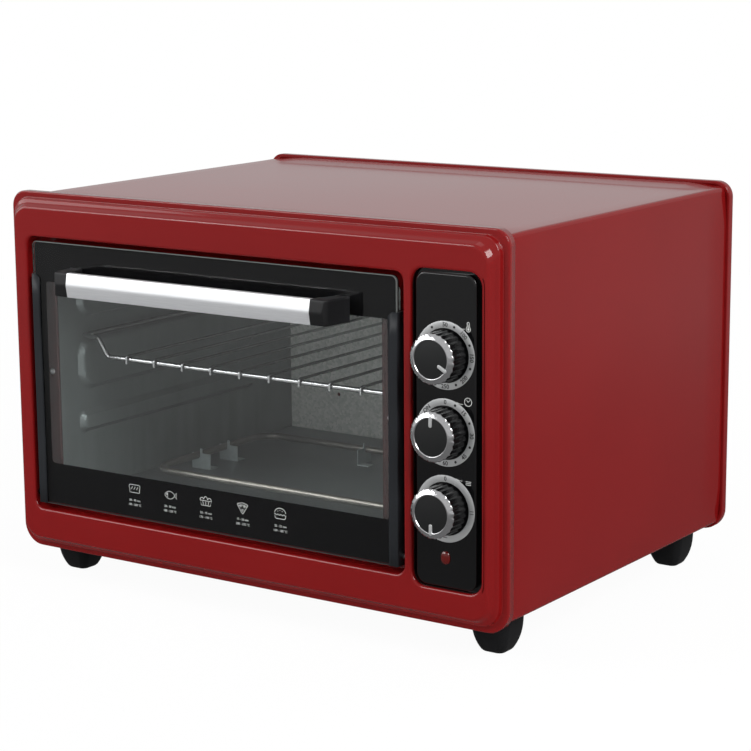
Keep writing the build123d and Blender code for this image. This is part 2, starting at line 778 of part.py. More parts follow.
# Door spring: a torsion spring round the left bush, with one leg resting on the hinge plate.
def two_arcs(start, start_way, end, end_way):
    """Two arcs that leave the start along one direction and reach the end along another."""
    across, ways = end - start, start_way + end_way
    open_by = 2 * (1 - start_way.dot(end_way))
    along = across.dot(ways)
    reach = (sqrt(along * along + open_by * across.dot(across)) - along) / open_by
    first, second = start + start_way * reach, end - end_way * reach
    joint = (first + second) * 0.5
    middle_way = (second - first).normalized()
    return [Edge.make_tangent_arc(start, start_way, joint), Edge.make_tangent_arc(joint, middle_way, end)]


spring_radius = bush_radius + spring_clearance + spring_wire / 2
leg_lean = spring_leg * spring_pitch / (2 * pi * spring_radius)
spring_start = door_x0 - press_sheet - hinge_plate - spring_wire / 2 - leg_lean


def on_spring(quarter):
    """A point on the coil after some quarter turns, and the coil's direction there."""
    turn = quarter * pi / 2
    x = spring_start - quarter * spring_pitch / 4
    point = Vector(x, hinge_y + spring_radius * cos(turn), hinge_z + spring_radius * sin(turn))
    way = Vector(-spring_pitch / (2 * pi), -spring_radius * sin(turn), spring_radius * cos(turn))
    return point, way.normalized()


coil = []
for quarter in range(4 * spring_turns):
    coil += two_arcs(*on_spring(quarter), *on_spring(quarter + 1))
coil_start, coil_way = on_spring(0)
coil.insert(0, Edge.make_line(coil_start - coil_way * spring_leg, coil_start))
save("door_spring", wire_along(Wire(coil), spring_wire / 2))

# Handle: an aluminium facing with a shallow ridge over a black core, on two moulded end posts.
bar_z0, bar_z1 = handle_z - handle_height / 2, handle_z + handle_height / 2
bar_edge = handle_y + handle_vee
core_back = handle_y + core_depth
inner_z0, inner_z1 = bar_z0 + facing_sheet, bar_z1 - facing_sheet


def prism(x0, x1, points):
    """A (y, z) polygon carried along x."""
    with BuildSketch(Plane(origin=(x0, 0, 0), x_dir=(0, 1, 0), z_dir=(1, 0, 0))) as sketch:
        with BuildLine():
            Polyline(*points, close=True)
        make_face()
    return extrude(sketch.sketch, x1 - x0)


facing_end = bar_edge + facing_return
save("handle_facing", prism(bar_x0, bar_x1, [
    (handle_y, handle_z),
    (bar_edge, bar_z1),
    (facing_end, bar_z1),
    (facing_end, inner_z1),
    (bar_edge + facing_sheet, inner_z1),
    (handle_y + facing_sheet, handle_z),
    (bar_edge + facing_sheet, inner_z0),
    (facing_end, inner_z0),
    (facing_end, bar_z0),
    (bar_edge, bar_z0),
]))
save("handle_core", prism(bar_x0, bar_x1, [
    (handle_y + facing_sheet, handle_z),
    (bar_edge + facing_sheet, inner_z1),
    (core_back, inner_z1),
    (core_back + core_crown, handle_z),
    (core_back, inner_z0),
    (bar_edge + facing_sheet, inner_z0),
]))


def end_post(bar_x, out):
    """A post in plan, cut to the bar's ridged front: it carries the bar on and turns back to the glass."""
    foot_x = bar_x + out * (post_length + post_flare)
    plan = [
        (bar_x, handle_y),
        (bar_x + out * (post_length - post_bevel / 2), handle_y),
        (bar_x + out * (post_length + post_bevel / 2), handle_y + post_bevel_depth),
        (foot_x, glass_y0),
        (foot_x - out * post_foot, glass_y0),
        (bar_x + out * core_crown, core_back + post_web),
        (bar_x, core_back + core_crown),
    ]
    with BuildSketch(Plane.XY.offset(bar_z0)) as sketch:
        with BuildLine():
            Polyline(*plan, close=True)
        make_face()
    ends = sorted((bar_x - out * cut_extra, foot_x + out * cut_extra))
    front = prism(*ends, [
        (handle_y, handle_z),
        (bar_edge, bar_z1),
        (glass_y0, bar_z1),
        (glass_y0, bar_z0),
        (bar_edge, bar_z0),
    ])
    return extrude(sketch.sketch, handle_height) & front


handle_screws = []
for side, bar_x, out, x in (("left", bar_x0, -1, handle_screw_x[0]), ("right", bar_x1, 1, handle_screw_x[1])):
    shank_y = glass_y0 - handle_screw_bite
    post = end_post(bar_x, out)
    save(f"handle_post_{side}", post - rod(x, shank_y, handle_z, "y", handle_screw_bite, handle_screw_radius))
    shank = rod(x, shank_y, handle_z, "y", glass_y1 - shank_y, handle_screw_radius)
    handle_screws.append(shank + rod(x, glass_y1, handle_z, "y", screw_head_lift, screw_head_radius))
save("handle_screws", *handle_screws)

# Control panel: a black moulded plate that fills its opening, with a flange behind the rolled edge.
plate = stack([
    grown(plate_rect, -plate_bevel, face_y, plate_corner, plate_corner),
    grown(plate_rect, 0, face_y + plate_bevel, plate_corner, plate_corner),
    grown(plate_rect, 0, panel_lip_end, plate_corner, plate_corner),
])
flange_end = panel_lip_end + plate_flange_sheet
plate += slab(panel_rect, plate_flange, panel_lip_end, flange_end, panel_opening_corner)
notch_x = door_x1 + bush_length + fit_gap
notch_z0, notch_z1 = hinge_z - hinge_plate_low - fit_gap, hinge_z + hinge_plate_high + fit_gap
plate -= block(notch_x - plate_flange * 2, notch_x, face_y, carrier_setback, notch_z0, notch_z1)
for z in knob_rows:
    plate -= hole_through(knob_x, face_y, flange_end, z, bushing_radius + cut_extra)
plate -= hole_through(knob_x, face_y, flange_end, lamp_z, lens_stem)
save("control_panel", plate)
save("dial_rings", *[
    rod(knob_x, face_y - dial_sheet, z, "y", dial_sheet, dial_outer)
    - hole_through(knob_x, face_y - dial_sheet, face_y, z, dial_inner)
    for z in knob_rows
])

# Carrier: a galvanised plate behind the panel, flanged back on its left, that holds the controls.
carrier_x1 = wrap_x - wrap_sheet
carrier = block(panel_x0, carrier_x1, carrier_setback, carrier_back, plate_z0, plate_z1)
carrier += block(panel_x0, panel_x0 + carrier_sheet, carrier_back, carrier_back + carrier_flange, plate_z0, plate_z1)
for z in knob_rows:
    carrier -= hole_through(knob_x, carrier_setback, carrier_back, z, bushing_radius)
carrier -= hole_through(knob_x, carrier_setback, carrier_back, lamp_z, lamp_radius + fit_gap)
save("control_carrier", carrier)


# Knobs: a fluted black barrel, a bright bezel, a black cap and a raised bright pointer.
def fluted_barrel(z):
    barrel = rod(knob_x, bezel_base, z, "y", knob_base - bezel_base, barrel_radius)
    flute_circle = barrel_radius + flute_radius - flute_sink
    flutes = []
    for index in range(barrel_flutes):
        turn = 2 * pi * index / barrel_flutes
        x, flute_z = knob_x + flute_circle * sin(turn), z + flute_circle * cos(turn)
        flutes.append(hole_through(x, bezel_base, knob_base, flute_z, flute_radius))
    return barrel - flutes


def turned(z, profile):
    """A (radius, y) profile turned about a knob's axis."""
    with BuildSketch(Plane(origin=(knob_x, 0, z), x_dir=(1, 0, 0), z_dir=(0, 0, 1))) as sketch:
        with BuildLine():
            Polyline(*profile, close=True)
        make_face()
    return revolve(sketch.sketch, Axis((knob_x, 0, z), (0, 1, 0)))


def cap_profile():
    """A low dome: it falls by the square of the radius to its edge."""
    dome = [(cap_radius * s, knob_top + cap_dome * s * s) for s in (0, 0.35, 0.7, 1)]
    return [(0, bezel_base), *dome, (cap_radius, bezel_base)]


# Controls, from the top: thermostat, timer and heater selector, each with its shaft through the panel.
def control_body(z, size):
    """A case with a bushing for the shaft in front and three tabs for the leads behind."""
    wide, deep, tall = size
    case_back = carrier_back + deep
    body = block(knob_x - wide / 2, knob_x + wide / 2, carrier_back, case_back, z - tall / 2, z + tall / 2)
    body += rod(knob_x, carrier_back - bushing_reach, z, "y", bushing_reach, bushing_radius)
    bore_y0 = carrier_back - bushing_reach
    body -= hole_through(knob_x, bore_y0, shaft_end, z, shaft_radius + shaft_clearance)
    for place_across in (-1, 0, 1):
        x = knob_x + place_across * wide / 4
        half = tab_width / 2
        body += block(x - half, x + half, case_back, case_back + tab_length, z - tab_sheet / 2, z + tab_sheet / 2)
    return body


shaft_end = carrier_back + shaft_tail
controls = [
    ("temperature", knob_rows[0], temperature_rest, "thermostat", thermostat_size),
    ("timer", knob_rows[1], timer_rest, "timer", timer_size),
    ("selector", knob_rows[2], selector_rest, "selector_switch", selector_size),
]
for name, z, rest, control, size in controls:
    shaft_tip = knob_base - shaft_grip
    shaft = rod(knob_x, shaft_tip, z, "y", shaft_end - shaft_tip, shaft_radius)
    bezel = turned(z, [
        (cap_radius, bezel_base),
        (barrel_radius, bezel_base),
        (barrel_radius, bezel_base - bezel_edge),
        (cap_radius + bezel_top, knob_top),
        (cap_radius, knob_top),
    ])
    pointer_end = cap_radius + pointer_overhang
    pointer = block(
        -pointer_width / 2,
        pointer_width / 2,
        knob_top - pointer_lift,
        knob_top + pointer_sink,
        pointer_end - pointer_length,
        pointer_end,
    )
    pointer = Location((knob_x, 0, z)) * Rotation(0, rest, 0) * pointer
    save(f"{name}_shaft", shaft)
    save(f"{name}_knob_barrel", fluted_barrel(z) - shaft)
    save(f"{name}_knob_bezel", bezel)
    save(f"{name}_knob_cap", turned(z, cap_profile()) - pointer)
    save(f"{name}_knob_pointer", pointer - bezel)
    save(control, control_body(z, size))

# Indicator: a red domed lens in the panel, with a small neon lamp behind it.
lens = Location((knob_x, face_y - lens_rim, lamp_z)) * Sphere(lens_radius - lens_rim)
lens &= rod(knob_x, face_y - lens_lift, lamp_z, "y", lens_lift, lens_radius)
lens += rod(knob_x, face_y - lens_rim, lamp_z, "y", lens_rim, lens_radius)
lens += rod(knob_x, face_y, lamp_z, "y", lens_stem_length, lens_stem)
save("indicator_lens", lens)
save("indicator_lamp", rod(knob_x, face_y + lens_stem_length, lamp_z, "y", lamp_length, lamp_radius))

# Terminal block on the base, and one internal lead from it to each control.
terminal_x, terminal_y = gland_x - block_side, case_depth - block_back_gap - block_depth
half_block = block_width / 2
save("terminal_block", block(
    terminal_x - half_block,
    terminal_x + half_block,
    terminal_y,
    terminal_y + block_depth,
    base_top,
    base_top + block_height,
))
leads = []
for index, (_, z, _, _, size) in enumerate(controls):
    x = terminal_x + (index - 1) * wire_pitch
    lead_z, end_y = base_top + block_height / 2, carrier_back + size[1] + tab_length
    path = FilletPolyline(
        (x, terminal_y, lead_z),
        (x, terminal_y - wire_run, lead_z),
        (knob_x, end_y + wire_run, z),
        (knob_x, end_y, z),
        radius=wire_bend,
    )
    leads.append(wire_along(path, wire_radius))
save("control_leads", *leads)
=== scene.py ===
from math import cos, pi, radians, sin

import bmesh
import bpy
import numpy as np
from mathutils import Matrix, Vector
from mathutils.geometry import delaunay_2d_cdt


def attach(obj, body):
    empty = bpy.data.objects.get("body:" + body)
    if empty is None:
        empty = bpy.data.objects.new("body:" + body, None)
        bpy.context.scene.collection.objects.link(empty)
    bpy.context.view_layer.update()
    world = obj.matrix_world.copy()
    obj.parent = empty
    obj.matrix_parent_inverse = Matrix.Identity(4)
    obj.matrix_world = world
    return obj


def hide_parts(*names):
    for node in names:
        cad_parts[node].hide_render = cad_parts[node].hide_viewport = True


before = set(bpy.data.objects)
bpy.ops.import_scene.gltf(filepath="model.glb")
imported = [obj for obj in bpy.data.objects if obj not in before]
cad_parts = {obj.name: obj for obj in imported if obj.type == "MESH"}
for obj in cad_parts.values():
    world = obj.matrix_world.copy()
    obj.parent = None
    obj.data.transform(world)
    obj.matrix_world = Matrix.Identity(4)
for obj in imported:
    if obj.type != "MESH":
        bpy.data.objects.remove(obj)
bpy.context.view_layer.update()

# Front frame: one pressing of enamelled steel sheet. A narrow flange runs round the rim, a riser and a cove
# lead forward to the flat face, and the edges of the door and panel openings are rolled back round it.
case_to_part = np.array([0, -174.4, 27.0])


def softened(points, reach, steps=6, closed=False):
    """A line with eased corners: at each corner it follows the parabola that leaves one side at a
    reach before the corner and joins the other side at the same reach after it."""
    points = np.asarray(points, float)
    sides = [np.roll(points, shift, 0) - points for shift in (1, -1)]
    reach = np.broadcast_to(np.asarray(reach, float), len(points))[:, None]
    runs = [np.maximum(np.linalg.norm(side, axis=1, keepdims=True), 1e-9) for side in sides]
    start, end = [points + side / run * reach for side, run in zip(sides, runs)]
    t = np.linspace(0, 1, steps)[None, :, None]
    bends = (1 - t) ** 2 * start[:, None] + 2 * t * (1 - t) * points[:, None] + t**2 * end[:, None]
    width = points.shape[1]
    if closed:
        return bends.reshape(-1, width)
    return np.concatenate([points[:1], bends[1:-1].reshape(-1, width), points[-1:]])


def rounded(rect, by, radius, bend=10):
    """A rectangle grown by a margin, with quarter circles at its corners: one radius, or one for the lower
    and one for the upper. The points run anticlockwise from the low right corner."""
    low, high = np.broadcast_to(radius, 2)
    x0, x1, z0, z1 = rect[0] - by, rect[1] + by, rect[2] - by, rect[3] + by
    turn = np.linspace(0, pi / 2, bend + 1)
    corners = [
        (x1 - low, z0 + low, low, -pi / 2),
        (x1 - high, z1 - high, high, 0),
        (x0 + high, z1 - high, high, pi / 2),
        (x0 + low, z0 + low, low, pi),
    ]
    return np.concatenate([
        np.stack([x + r * np.cos(turn + start), z + r * np.sin(turn + start)], -1)
        for x, z, r, start in corners
    ])


def at_depth(loop, y):
    """Points across the front, (x, z), at one depth or at a depth for each."""
    return np.stack([loop[:, 0], np.broadcast_to(y, len(loop)), loop[:, 1]], -1)


def grid(points, meet=(False, False), turned=False):
    """The faces of a grid of points: each joins (i, j), (i, j + 1), (i + 1, j + 1) and (i + 1, j), and
    looks along the cross product of a step in a row and a step down a column. Where rows or columns
    meet, the last joins the first."""
    rows, columns = points.shape[:2]
    i, j = np.meshgrid(np.arange(rows - 1 + meet[0]), np.arange(columns - 1 + meet[1]), indexing="ij")
    round_face = ((i, j), (i, j + 1), (i + 1, j + 1), (i + 1, j))
    corners = [(a % rows) * columns + b % columns for a, b in round_face]
    faces = np.stack(corners[::-1] if turned else corners, -1).reshape(-1, 4)
    return points.reshape(-1, 3), faces.tolist()


def carried(rect, profile, corner, follow=1, turned=False, bend=10):
    """A profile of (margin, depth) carried round a rectangle. Each corner's radius is its own at no margin,
    and grows with the margin by the share it follows it."""
    radii = np.broadcast_to(corner, 2) + np.outer(profile[:, 0], np.broadcast_to(follow, 2))
    rings = [
        at_depth(rounded(rect, by, radius, bend), y)
        for (by, y), radius in zip(profile, np.maximum(radii, 0.3))
    ]
    return grid(np.stack(rings), (False, True), turned)


def inside(points, loop):
    """Which points lie to the left of every side of a convex loop that runs anticlockwise."""
    side = np.roll(loop, -1, 0) - loop
    to_point = points[:, None] - loop[None]
    return (side[None, :, 0] * to_point[..., 1] - side[None, :, 1] * to_point[..., 0] > -1e-9).all(1)


def flat(outer, holes, y, turned=False):
    """A flat sheet at one depth between an outer loop and the holes in it. It faces the front."""
    loops = [np.asarray(loop, float) for loop in (outer, *holes)]
    starts = np.cumsum([0] + [len(loop) for loop in loops])
    edges = [
        (int(start + k), int(start + (k + 1) % len(loop)))
        for start, loop in zip(starts, loops)
        for k in range(len(loop))
    ]
    corners = [tuple(p) for p in np.concatenate(loops)]
    found, _, faces, *_ = delaunay_2d_cdt(corners, edges, [], 1, 1e-6)
    found, faces = np.array([tuple(p) for p in found]), np.array(faces)
    middles = found[faces].mean(1)
    for loop in loops[1:]:
        keep = ~inside(middles, loop)
        faces, middles = faces[keep], middles[keep]
    return at_depth(found, y), (faces[:, ::-1] if turned else faces).tolist()


def stacked(rings, turned=False):
    """A skin over a stack of flat loops, with a lid of triangles over the first and the last."""
    axis = int(np.argmin(np.ptp(rings[0], axis=0)))
    plane = [k for k in range(3) if k != axis]
    parts = [grid(rings, (False, True), turned)]
    upward = np.sign(rings[-1, 0, axis] - rings[0, 0, axis]) * (-1 if axis == 1 else 1)
    for ring, way in ((rings[0], -1), (rings[-1], 1)):
        found, faces = flat(ring[:, plane], [], 0, turned=upward * way < 0)
        lid = np.empty_like(found)
        lid[:, plane], lid[:, axis] = found[:, [0, 2]], ring[0, axis]
        parts.append((lid, faces))
    return parts


def in_scene(name, data):
    """A new object that shows its data in the scene."""
    made = bpy.data.objects.new(name, data)
    bpy.context.scene.collection.objects.link(made)
    return made


def piece(name, parts, material, body, stands_for=(), crease=38):
    """One mesh of several sets of points and faces, in mm in the case's frame, put in the part's frame in
    metres. Points that coincide are merged, and edges sharper than the crease stay sharp."""
    points = np.concatenate([np.asarray(p) for p, _ in parts]) + case_to_part
    starts = np.cumsum([0] + [len(p) for p, _ in parts])
    faces = [[int(start) + k for k in face] for (_, fs), start in zip(parts, starts) for face in fs]
    mesh = bpy.data.meshes.new(name)
    mesh.from_pydata((points / 1000).tolist(), [], faces)
    merged = bmesh.new()
    merged.from_mesh(mesh)
    bmesh.ops.remove_doubles(merged, verts=merged.verts, dist=2e-6)
    bmesh.ops.dissolve_degenerate(merged, edges=merged.edges, dist=1e-7)
    merged.to_mesh(mesh)
    merged.free()
    mesh.shade_smooth()
    mesh.set_sharp_from_angle(angle=radians(crease))
    mesh.materials.append(material)
    made = in_scene(name, mesh)
    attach(made, body)
    if stands_for:
        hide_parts(*stands_for)
    return made


def sheet_metal(made, thickness):
    """Gives an open surface its sheet's thickness, in mm, behind the side that shows."""
    wall = made.modifiers.new("sheet", "SOLIDIFY")
    wall.thickness = thickness / 1000
    wall.offset = -1


class Value:
    """A number or a colour in a finish's nodes: sums and products of it add their Math nodes."""

    def __init__(self, finish, socket):
        self.finish, self.socket = finish, socket

    def __add__(self, other):
        return self.finish.math("ADD", self, other)

    def __rsub__(self, other):
        return self.finish.math("SUBTRACT", other, self)

    def __mul__(self, other):
        return self.finish.math("MULTIPLY", self, other)

    __radd__, __rmul__ = __add__, __mul__


class Finish:
    """The nodes of one procedural material, or of a world."""

    def __init__(self, name, kind=bpy.data.materials):
        self.owner = kind.new(name)
        self.owner.use_nodes = True
        self.tree = self.owner.node_tree
        self.tree.nodes.clear()

    def node(self, kind, settings, sockets):
        """Adds a node: its settings are set first, and then its sockets get their values or links."""
        made = self.tree.nodes.new("ShaderNode" + kind)
        for name, value in settings.items():
            setattr(made, name, value)
        for name, value in sockets.items():
            if isinstance(value, Value):
                self.tree.links.new(value.socket, made.inputs[name])
            else:
                made.inputs[name].default_value = value
        return [Value(self, output) for output in made.outputs]

    def math(self, operation, *values):
        """A Math node on one to three values."""
        return self.node("Math", {"operation": operation}, dict(enumerate(values)))[0]

    def mix(self, share, first, second):
        """A colour between two, by a share."""
        return self.node("Mix", {"data_type": "RGBA"}, {0: share, 6: first, 7: second})[2]

    def ramp(self, value, low, high):
        """A value's smooth rise from 0 at low to 1 at high."""
        limits = {0: value, 1: low, 2: high}
        return self.node("MapRange", {"interpolation_type": "SMOOTHSTEP"}, limits)[0]

    def place(self):
        """The point that is shaded, in the object's own coordinates."""
        return self.node("TexCoord", {}, {})[3]

    def grain(self, size, detail=2, stretch=(1, 1, 1), rough=0.5):
        """Noise of a grain size in mm, drawn out along each axis by its stretch."""
        scale = tuple(1000 / size / s for s in stretch)
        spread = self.node("Mapping", {}, {"Vector": self.place(), "Scale": scale})[0]
        sockets = {"Vector": spread, "Scale": 1, "Detail": detail, "Roughness": rough}
        return self.node("TexNoise", {}, sockets)[0]

    def bump(self, height, rise):
        """The surface's direction where it rises by a height, 0 to 1, times a rise in mm."""
        return self.node("Bump", {}, {"Strength": 1.0, "Distance": rise / 1000, "Height": height})[0]

    def rays(self):
        """1 or 0 each for a ray from the camera, from a glossy surface, and through glass."""
        path = self.node("LightPath", {}, {})
        return path[0], path[3], path[6]

    def surface(self, sockets):
        """Ends the material with one Principled surface."""
        shaded = self.node("BsdfPrincipled", {}, sockets)[0]
        self.node("OutputMaterial", {}, {"Surface": shaded})
        return self.owner


def colour(red, green, blue):
    """A colour from its 0 to 255 screen values, as the linear ones a shader takes."""
    share = np.array([red, green, blue]) / 255
    linear = np.where(share <= 0.04045, share / 12.92, ((share + 0.055) / 1.055) ** 2.4)
    return (*linear.tolist(), 1)


def mottled(name, size, dark, pale, rough, rise=0, metal=0, gloss=0.5, detail=2, fine=None):
    """A material that noise of a grain size, in mm, leads from a dark shade to a pale one and from one
    roughness to another. It rises by a height in mm with the same noise, or with a finer one."""
    finish = Finish(name)
    share = finish.grain(size, detail)
    sockets = {
        "Base Color": finish.mix(share, colour(*dark), colour(*pale)),
        "Roughness": rough[0] + (rough[1] - rough[0]) * share,
        "Metallic": metal,
        "Specular IOR Level": gloss,
    }
    if rise:
        sockets["Normal"] = finish.bump(finish.grain(*fine) if fine else share, rise)
    return finish.surface(sockets)


red_enamel = mottled(
    "red_enamel", 120, (113, 14, 15), (121, 17, 18), (0.09, 0.13), 0.006, gloss=0.34, fine=(1.4, 1)
)

case_rect = (-260, 260, 0, 326)
door_rect = (-234, 169, 39.3, 287.8)
panel_rect = (176.2, 242.2, 33.5, 292.2)
case_corners, door_corner, panel_corner = np.array([20, 14]), 9, 12
face_y, landing_y = -14.0, 3.3
face_inset, rim_share, edge_hold, hold_share = 16.5, np.array([0.3, -0.1]), 3.2, 0.3

rim_line = softened(
    [(0, 7), (0, -1.6), (-5.5, -1.6), (-6.2, -6.1), (-9.6, -8.3), (-12.3, face_y), (-face_inset, face_y)],
    [0.1, 1.3, 0.8, 0.7, 1.5, 1.7, 0.1],
)
door_edge_line = softened(
    [(edge_hold, face_y), (0, face_y), (0, landing_y), (-14.0, landing_y), (-14.0, landing_y + 1)],
    [0.1, 2.5, 1.2, 0.6, 0.1],
)
panel_edge_line = softened([(edge_hold, face_y), (0, face_y), (0, -8.2)], [0.1, 2.5, 0.1])
front_parts = [carried(case_rect, rim_line, case_corners, rim_share)]
face_holes = []
for rect, line, corner in (
    (door_rect, door_edge_line, door_corner), (panel_rect, panel_edge_line, panel_corner)
):
    front_parts.append(carried(rect, line, corner, hold_share))
    face_holes.append(rounded(rect, edge_hold, corner + hold_share * edge_hold))
face_loop = rounded(case_rect, -face_inset, case_corners - rim_share * face_inset)
front_parts.append(flat(face_loop, face_holes, face_y))
front_frame = piece("pressed_front", front_parts, red_enamel, "oven", ["front_frame"])
pressed_sheet = 0.8
sheet_metal(front_frame, pressed_sheet)

# Body wrap: one enamelled sheet folded over the roof and both sides, with its hems turned in under the
# base. Each panel is crowned a little. It is drawn in behind the front frame, and flares out between its
# corners to meet the back panel.


def divided(line, step):
    """The same line with more points, so that no run between two is longer than a step."""
    along = np.concatenate([[0], np.cumsum(np.linalg.norm(np.diff(line, axis=0), axis=1))])
    spots = [np.linspace(a, b, int(np.ceil((b - a) / step)) + 1)[:-1] for a, b in zip(along, along[1:])]
    marks = np.append(np.concatenate(spots), along[-1])
    return np.stack([np.interp(marks, along, line[:, k]) for k in range(line.shape[1])], -1)


case_depth = 389.5
side_x, hem_x, base_z, roof_z = 255, 243, 7, 321
draw_end, flare_start, wrap_end, fade = 50, 346, 388.7, 30
fold = softened([
    (-hem_x, base_z), (-side_x, base_z), (-side_x, roof_z),
    (side_x, roof_z), (side_x, base_z), (hem_x, base_z),
], [0.1, 4, 4, 4, 4, 0.1], 8)
fold = divided(fold, 16)
fold_x, fold_z = fold.T
depths = np.concatenate([
    np.linspace(-0.8, draw_end, 12), np.linspace(70, 330, 14), np.linspace(flare_start, wrap_end, 14)
])
across, height = fold_x / side_x, (2 * fold_z - roof_z - base_z) / (roof_z - base_z)
on_roof = fold_z > 200
bow = np.sin(pi * (depths - depths[0]) / case_depth)[:, None]
roof_bow = 0.7 * bow * np.clip(1 - across**2, 0, 1) ** 2 * on_roof
side_bow = 0.6 * bow * np.clip(1 - height**2, 0, 1) ** 2 * np.sign(across) * (np.abs(across) > 0.99)
drawn_in = 1.6 * np.clip((draw_end - depths) / draw_end, 0, 1)[:, None] ** 2
flare = 3.9 * np.clip((depths - flare_start) / (wrap_end - flare_start), 0, 1)[:, None] ** 2
side_share = np.clip((np.abs(fold_x) - hem_x) / (side_x - hem_x), 0, 1)
side_flare = np.clip((roof_z - fold_z) / fade, 0, 1) * np.clip((fold_z - base_z) / fade, 0, 1)
roof_flare = np.clip((side_x - np.abs(fold_x)) / fade, 0, 1) * on_roof
wrap_points = np.stack([
    fold_x + side_bow + (flare * side_flare - drawn_in) * np.sign(across) * side_share,
    np.broadcast_to(depths[:, None], bow.shape[:1] + across.shape),
    fold_z + roof_bow + flare * roof_flare - drawn_in * (fold_z - base_z) / (roof_z - base_z),
], -1)
wrap = piece("folded_wrap", [grid(wrap_points)], red_enamel, "oven", ["body_wrap"])
sheet_metal(wrap, 0.7)

# Back panel: a shallow enamelled pressing with the same rim, whose edge is rolled in to the wrap. Its air
# slots and the round hole for the lead's gland have narrow flat rings round them.
slot_length, slot_width, slot_pitch = 34, 4, 12
slots = [(176.6, 137 + slot_pitch * row) for row in range(11)]
slots += [(-208 + 46 * column, 301 - slot_pitch * row) for column in range(8) for row in (1, 2)]
slots = [(x, x + slot_length, z, z + slot_width) for x, z in slots]
gland_rect = (202.8, 216.8, 27, 41)
back_inset = 9
back_line = softened(
    [(-4.6, 381.6), (-2.0, 380.5), (0, 380.5), (0, case_depth), (-back_inset, case_depth)],
    [0.1, 0.8, 1.4, 1.8, 0.1],
)
slot_hold, slot_corner, gland_corner = 0.8, 1.9, 6.9
slot_line = np.array([(slot_hold, 0), (0.0, 0), (-0.35, -0.2), (-0.5, -0.7)]) + (0, case_depth)
back_holes = [rounded(rect, slot_hold, slot_corner + slot_hold, 3) for rect in slots]
back_holes.append(rounded(gland_rect, slot_hold, gland_corner + slot_hold, 5))
back_loop = rounded(case_rect, -back_inset, case_corners - hold_share * back_inset)
back_parts = [
    carried(case_rect, back_line, case_corners, hold_share, turned=True),
    flat(back_loop, back_holes, case_depth, turned=True),
]
back_parts += [carried(rect, slot_line, slot_corner, turned=True, bend=3) for rect in slots]
back_parts.append(carried(gland_rect, slot_line[:2], gland_corner, turned=True, bend=5))
back = piece("pressed_back", back_parts, red_enamel, "oven", ["back_panel"])
sheet_metal(back, pressed_sheet)

# Case screws: zinc-plated pan heads with a cross recess, six in the back and one at each side of the
# door landing. They hold the pressings to the folded wrap.
plated_steel = mottled(
    "plated_steel", 2.5, (176, 178, 182), (206, 207, 208), (0.24, 0.4), 0.004,
    metal=1, detail=3, fine=(0.4, 2),
)


def screw_head(centre, outward, radius=3.6, rise=1.3):
    """A round head: its height falls by the fourth power of the radius to the rim, and a cross of two
    smooth-sided grooves is sunk in its middle. It rises from its centre along the outward direction."""
    ring = np.append(np.linspace(0, 0.55, 9), [0.65, 0.78, 0.88, 0.95, 0.99, 1.0])
    turn = np.linspace(0, 2 * pi, 48, endpoint=False)
    u, v = ring[:, None] * np.cos(turn), ring[:, None] * np.sin(turn)
    groove = np.minimum(np.abs(u), np.abs(v)) / 0.14
    reach = np.maximum(np.abs(u), np.abs(v)) / 0.52
    sunk = np.clip(1.4 - groove, 0, 1) * np.clip((1.05 - reach) * 6, 0, 1)
    lift = rise * (0.62 + 0.38 * (1 - ring[:, None] ** 4)) - 0.62 * rise * sunk
    up = np.asarray(outward, float)
    side = np.roll(up, 1)
    other = np.cross(up, side)
    spans = ((u * radius, side), (v * radius, other), (lift, up))
    head = sum(np.multiply.outer(span, way) for span, way in spans)
    skirt = head[-1:] - lift[-1:, :, None] * up
    return grid(np.concatenate([head, skirt, 0 * skirt]) + centre, (False, True), turned=True)


back_screw_spots = [(x, case_depth, z) for x in (-238, -32.5, 238) for z in (18, 312)]
landing_screw_spots = [(x, landing_y, 160) for x in (-225.9, 160.9)]
piece(
    "case_screw_heads",
    [screw_head(spot, (0, 1, 0)) for spot in back_screw_spots]
    + [screw_head(spot, (0, -1, 0)) for spot in landing_screw_spots],
    plated_steel, "oven", ["case_screws"],
)

# Lead gland: a moulded black bush with a rounded flange, pushed into the back panel's round hole. It is
# empty, and a mains lead would pass through its bore.
plastic = Finish("black_plastic")
stipple = plastic.grain(0.35, 2)
black_plastic = plastic.surface({
    "Base Color": plastic.mix(plastic.grain(30, 2), colour(17, 17, 18), colour(25, 25, 27)),
    "Roughness": 0.42 + 0.1 * stipple,
    "Specular IOR Level": 0.2,
    "Normal": plastic.bump(stipple, 0.02),
})


def turned_piece(x, z, profile, steps=64, ripple=0.0):
    """A profile of (radius, depth) turned about a line along y through (x, z), clockwise from the top. The
    ripple, if given for each row and step, is added to the radius."""
    turn = np.linspace(0, 2 * pi, steps, endpoint=False)
    profile = np.asarray(profile, float)
    radius = profile[:, :1] + ripple + np.zeros((1, steps))
    depth = np.broadcast_to(profile[:, 1:], radius.shape)
    return grid(np.stack([x + radius * np.sin(turn), depth, z + radius * np.cos(turn)], -1), (False, True))


gland_line = softened(
    [(4, 381.5), (4, 390.8), (9.5, 390.8), (9.5, case_depth), (6.9, case_depth), (6.9, 381.5), (4, 381.5)],
    [0.1, 0.5, 0.5, 0.3, 0.2, 0.2, 0.1], 4,
)
piece(
    "gland_bush", [turned_piece(209.8, 34, gland_line[::-1], 48)], black_plastic, "oven",
    ["lead_gland"],
)

